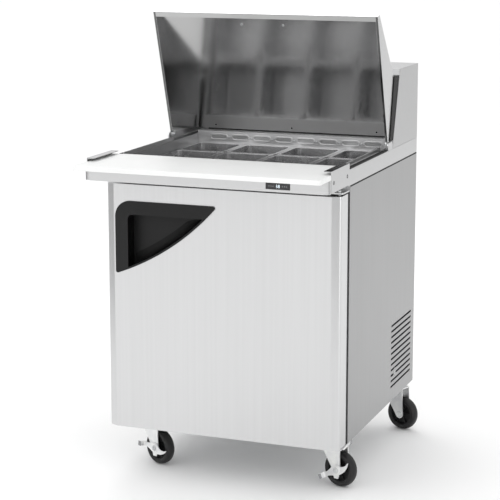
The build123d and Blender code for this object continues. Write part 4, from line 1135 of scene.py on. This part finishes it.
def make_brake(name):
    """Stamped brake lever: a cranked pedal arm, a curved cam horn and a foot, with its hex bolt."""
    joint = JOINTS["lever_" + name]
    axis = Vector(joint["axis"]).normalized()
    hub = Vector(joint["pos_m"])
    trail = Vector(JOINTS["swivel_" + name]["pos_m"]) - hub
    trail.z = 0
    back = -trail.normalized()
    angle = math.radians(LEVER_ANGLE[name])
    turn = Matrix((back, Vector(UP), axis)).transposed().to_4x4()
    flat = Matrix.Translation(hub + axis * LEVER_PLANE * MM) @ turn
    lever = flat @ Matrix.Rotation(angle, 4, "Z")
    outline = [(12, -13), (22, -9.5), (34, -6.6), (44, -6.4), (44, 6.4), (34, 6.6), (22, 9.0), (12, 13),
               (2, 15.5), (-9.5, 15), (-18, 14), (-27, 12), (-36, 7.5), (-43.5, 2), (-50, -5.5),
               (-47.5, -6.5), (-40, -3), (-31, -2), (-22, -4), (-15, -9), (-9.5, -14), (-1, -16)]
    plate = Build()
    plate.plate(lever, mm(*smooth_loop(outline, 4)), 1.9 * MM)
    foot = mm((-9, -8), (9, -8), (10.5, -15), (7.5, -24), (-6.5, -24), (-9, -15))
    plate.plate(flat @ Matrix.Translation((0, 0, 0.05 * MM)), foot, 1.8 * MM)
    plate.lathe(flat, mm((13.5, 1.8), (12.6, 3.0), (8.0, 3.4), (7.4, 3.4)), 40)
    tread = [(43, 0.0), (45, 1.0), (46.5, 4.0), (47.2, 8.0), (49.0, 11.5), (53.0, 13.2), (57.0, 12.6)]
    for (x0, h0), (x1, h1) in zip(tread, tread[1:]):
        corners = []
        for y in (-7.5, 7.5):
            for x, h in ((x0, h0), (x1, h1), (x1, h1 + 2.0), (x0, h0 + 2.0)):
                corners.append(plate.mesh.verts.new(lever @ Vector((x * MM, y * MM, h * MM))))
        plate.bar([corners[:4], corners[4:]])
    body = "brake_" + name
    piece = plate.done("brake_lever_" + name, "zinc", body, bevel=0.5 * MM, sharp=32)
    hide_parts(body)
    pad = Build()
    for k in range(4):
        x = 47.4 + k * 2.6
        pad.plate(lever @ Matrix.Translation((x * MM, 0, (14.6 - 0.25 * abs(k - 2)) * MM)),
                  mm((0, -7.0), (1.7, -7.0), (1.7, 7.0), (0, 7.0)), 1.3 * MM)
    pad.done("brake_pad_" + name, "breaker", body, bevel=0.3 * MM)
    bolt = Build()
    head = Matrix.Translation(hub + axis * (LEVER_PLANE + 3.3) * MM) @ turn
    bolt.lathe(head, mm((8.6, 0), (8.6, 0.8), (8.0, 1.1)), 36)
    bolt.plate(head @ Matrix.Translation((0, 0, 1.0 * MM)), polygon(6.6 * MM, 6), 3.6 * MM)
    bolt.lathe(head @ Matrix.Translation((0, 0, 4.6 * MM)), mm((3.6, 0), (3.5, 1.4), (2.6, 2.2)), 24)
    bolt.done("brake_bolt_" + name, "hardware", "fork_" + name, bevel=0.2 * MM, sharp=30)


# ---- inside and behind ----
def make_fan_guard():
    """Wire guard over the cold-air fan's opening."""
    low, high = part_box("evaporator_fan")
    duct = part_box("air_duct")[0].y + 0.2 * MM
    centre = Vector((0, duct, (low.z + high.z) / 2))
    guard = Build()
    for radius in (22, 40, 58, 76, 94, 103):
        depth = (9 if radius < 90 else 4) * MM
        circle = [(radius * MM * math.cos(a), -depth, radius * MM * math.sin(a))
                  for a in (2 * math.pi * k / 64 for k in range(64))]
        guard.pipe([centre + Vector(point) for point in circle], 1.1 * MM, closed=True)
    for k in range(4):
        angle = math.pi / 4 + k * math.pi / 2
        line = [(22, -9), (76, -9), (90, -7.5), (103, -4), (108, -1.2)]
        points = [centre + Vector((r * math.cos(angle), h, r * math.sin(angle))) * MM for r, h in line]
        guard.pipe(points, 1.3 * MM)
        guard.lathe(facing(points[-1], FRONT), mm((4.6, -1.2), (4.6, 1.2), (3.4, 2.6)), 24)
    guard.done("fan_guard", "zinc", "cabinet", sharp=50)


def make_back_details():
    """Lock ring of the cord gland and folded ribs across the rear panel."""
    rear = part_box("back_panel")[1].y
    ring = Build()
    outline = mm((12.4, 0), (18.0, 0), (18.0, 0.7), (17.0, 1.1), (12.4, 1.1))
    ring.hoop(facing((GLAND[0], rear - 0.05 * MM, GLAND[1]), BACK), outline, 40)
    ring.done("gland_ring", "black_plastic", "cabinet", sharp=35)
    ribs = Build()
    for z in RIBS_Z:
        ribs.plate(facing((0, rear - 0.1 * MM, z), BACK), rounded(*RIB_SIZE, 14.9 * MM), 1.0 * MM)
    ribs.done("rear_ribs", "galvanised", "cabinet", bevel=0.8 * MM)


def make_base_details():
    """Stiffening beads, a drain plug and the caster bolts under the cabinet."""
    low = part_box("base_panel")[0]
    floor = low.z + 1.2 * MM
    beads = Build()
    for x in BEADS_X:
        place = facing((x, BEAD_Y, floor + 0.1 * MM), DOWN, BACK)
        beads.plate(place, rounded(*BEAD_SIZE, 15.9 * MM), 1.2 * MM)
    plug = mm((11, 0), (11, 1.0), (8, 1.2), (7, 1.2))
    beads.lathe(facing((0, DRAIN_Y, floor), DOWN, BACK), plug, 36)
    beads.done("base_beads", "galvanised", "cabinet", bevel=0.6 * MM)
    bolts = Build()
    for name in CASTERS:
        pivot = JOINTS["swivel_" + name]["pos_m"]
        for side_x in (-1, 1):
            for side_y in (-1, 1):
                x = pivot[0] + side_x * CASTER_BOLTS[0] * MM
                y = pivot[1] + side_y * CASTER_BOLTS[1] * MM
                hex_bolt(bolts, facing((x, y, CASTER_BOLT_Z), DOWN, BACK), 6.4 * MM, 5.2 * MM)
    bolts.done("caster_bolts", "hardware", "cabinet", bevel=0.25 * MM, sharp=30)


make_materials()
make_camera()
make_studio()
dress_nodes()
make_screws()
make_lid_rubbers()
make_bracket_caps()
make_rail_seal()
make_display()
make_louvres()
make_louvre_edges()
make_lid_details()
make_hinge_details()
make_gasket_bellows()
make_handle_fillet()
make_hinge_foot()
for caster in CASTERS:
    make_wheel(caster)
    make_swivel(caster)
for caster in LEVER_ANGLE:
    make_brake(caster)
make_fan_guard()
make_back_details()
make_base_details()
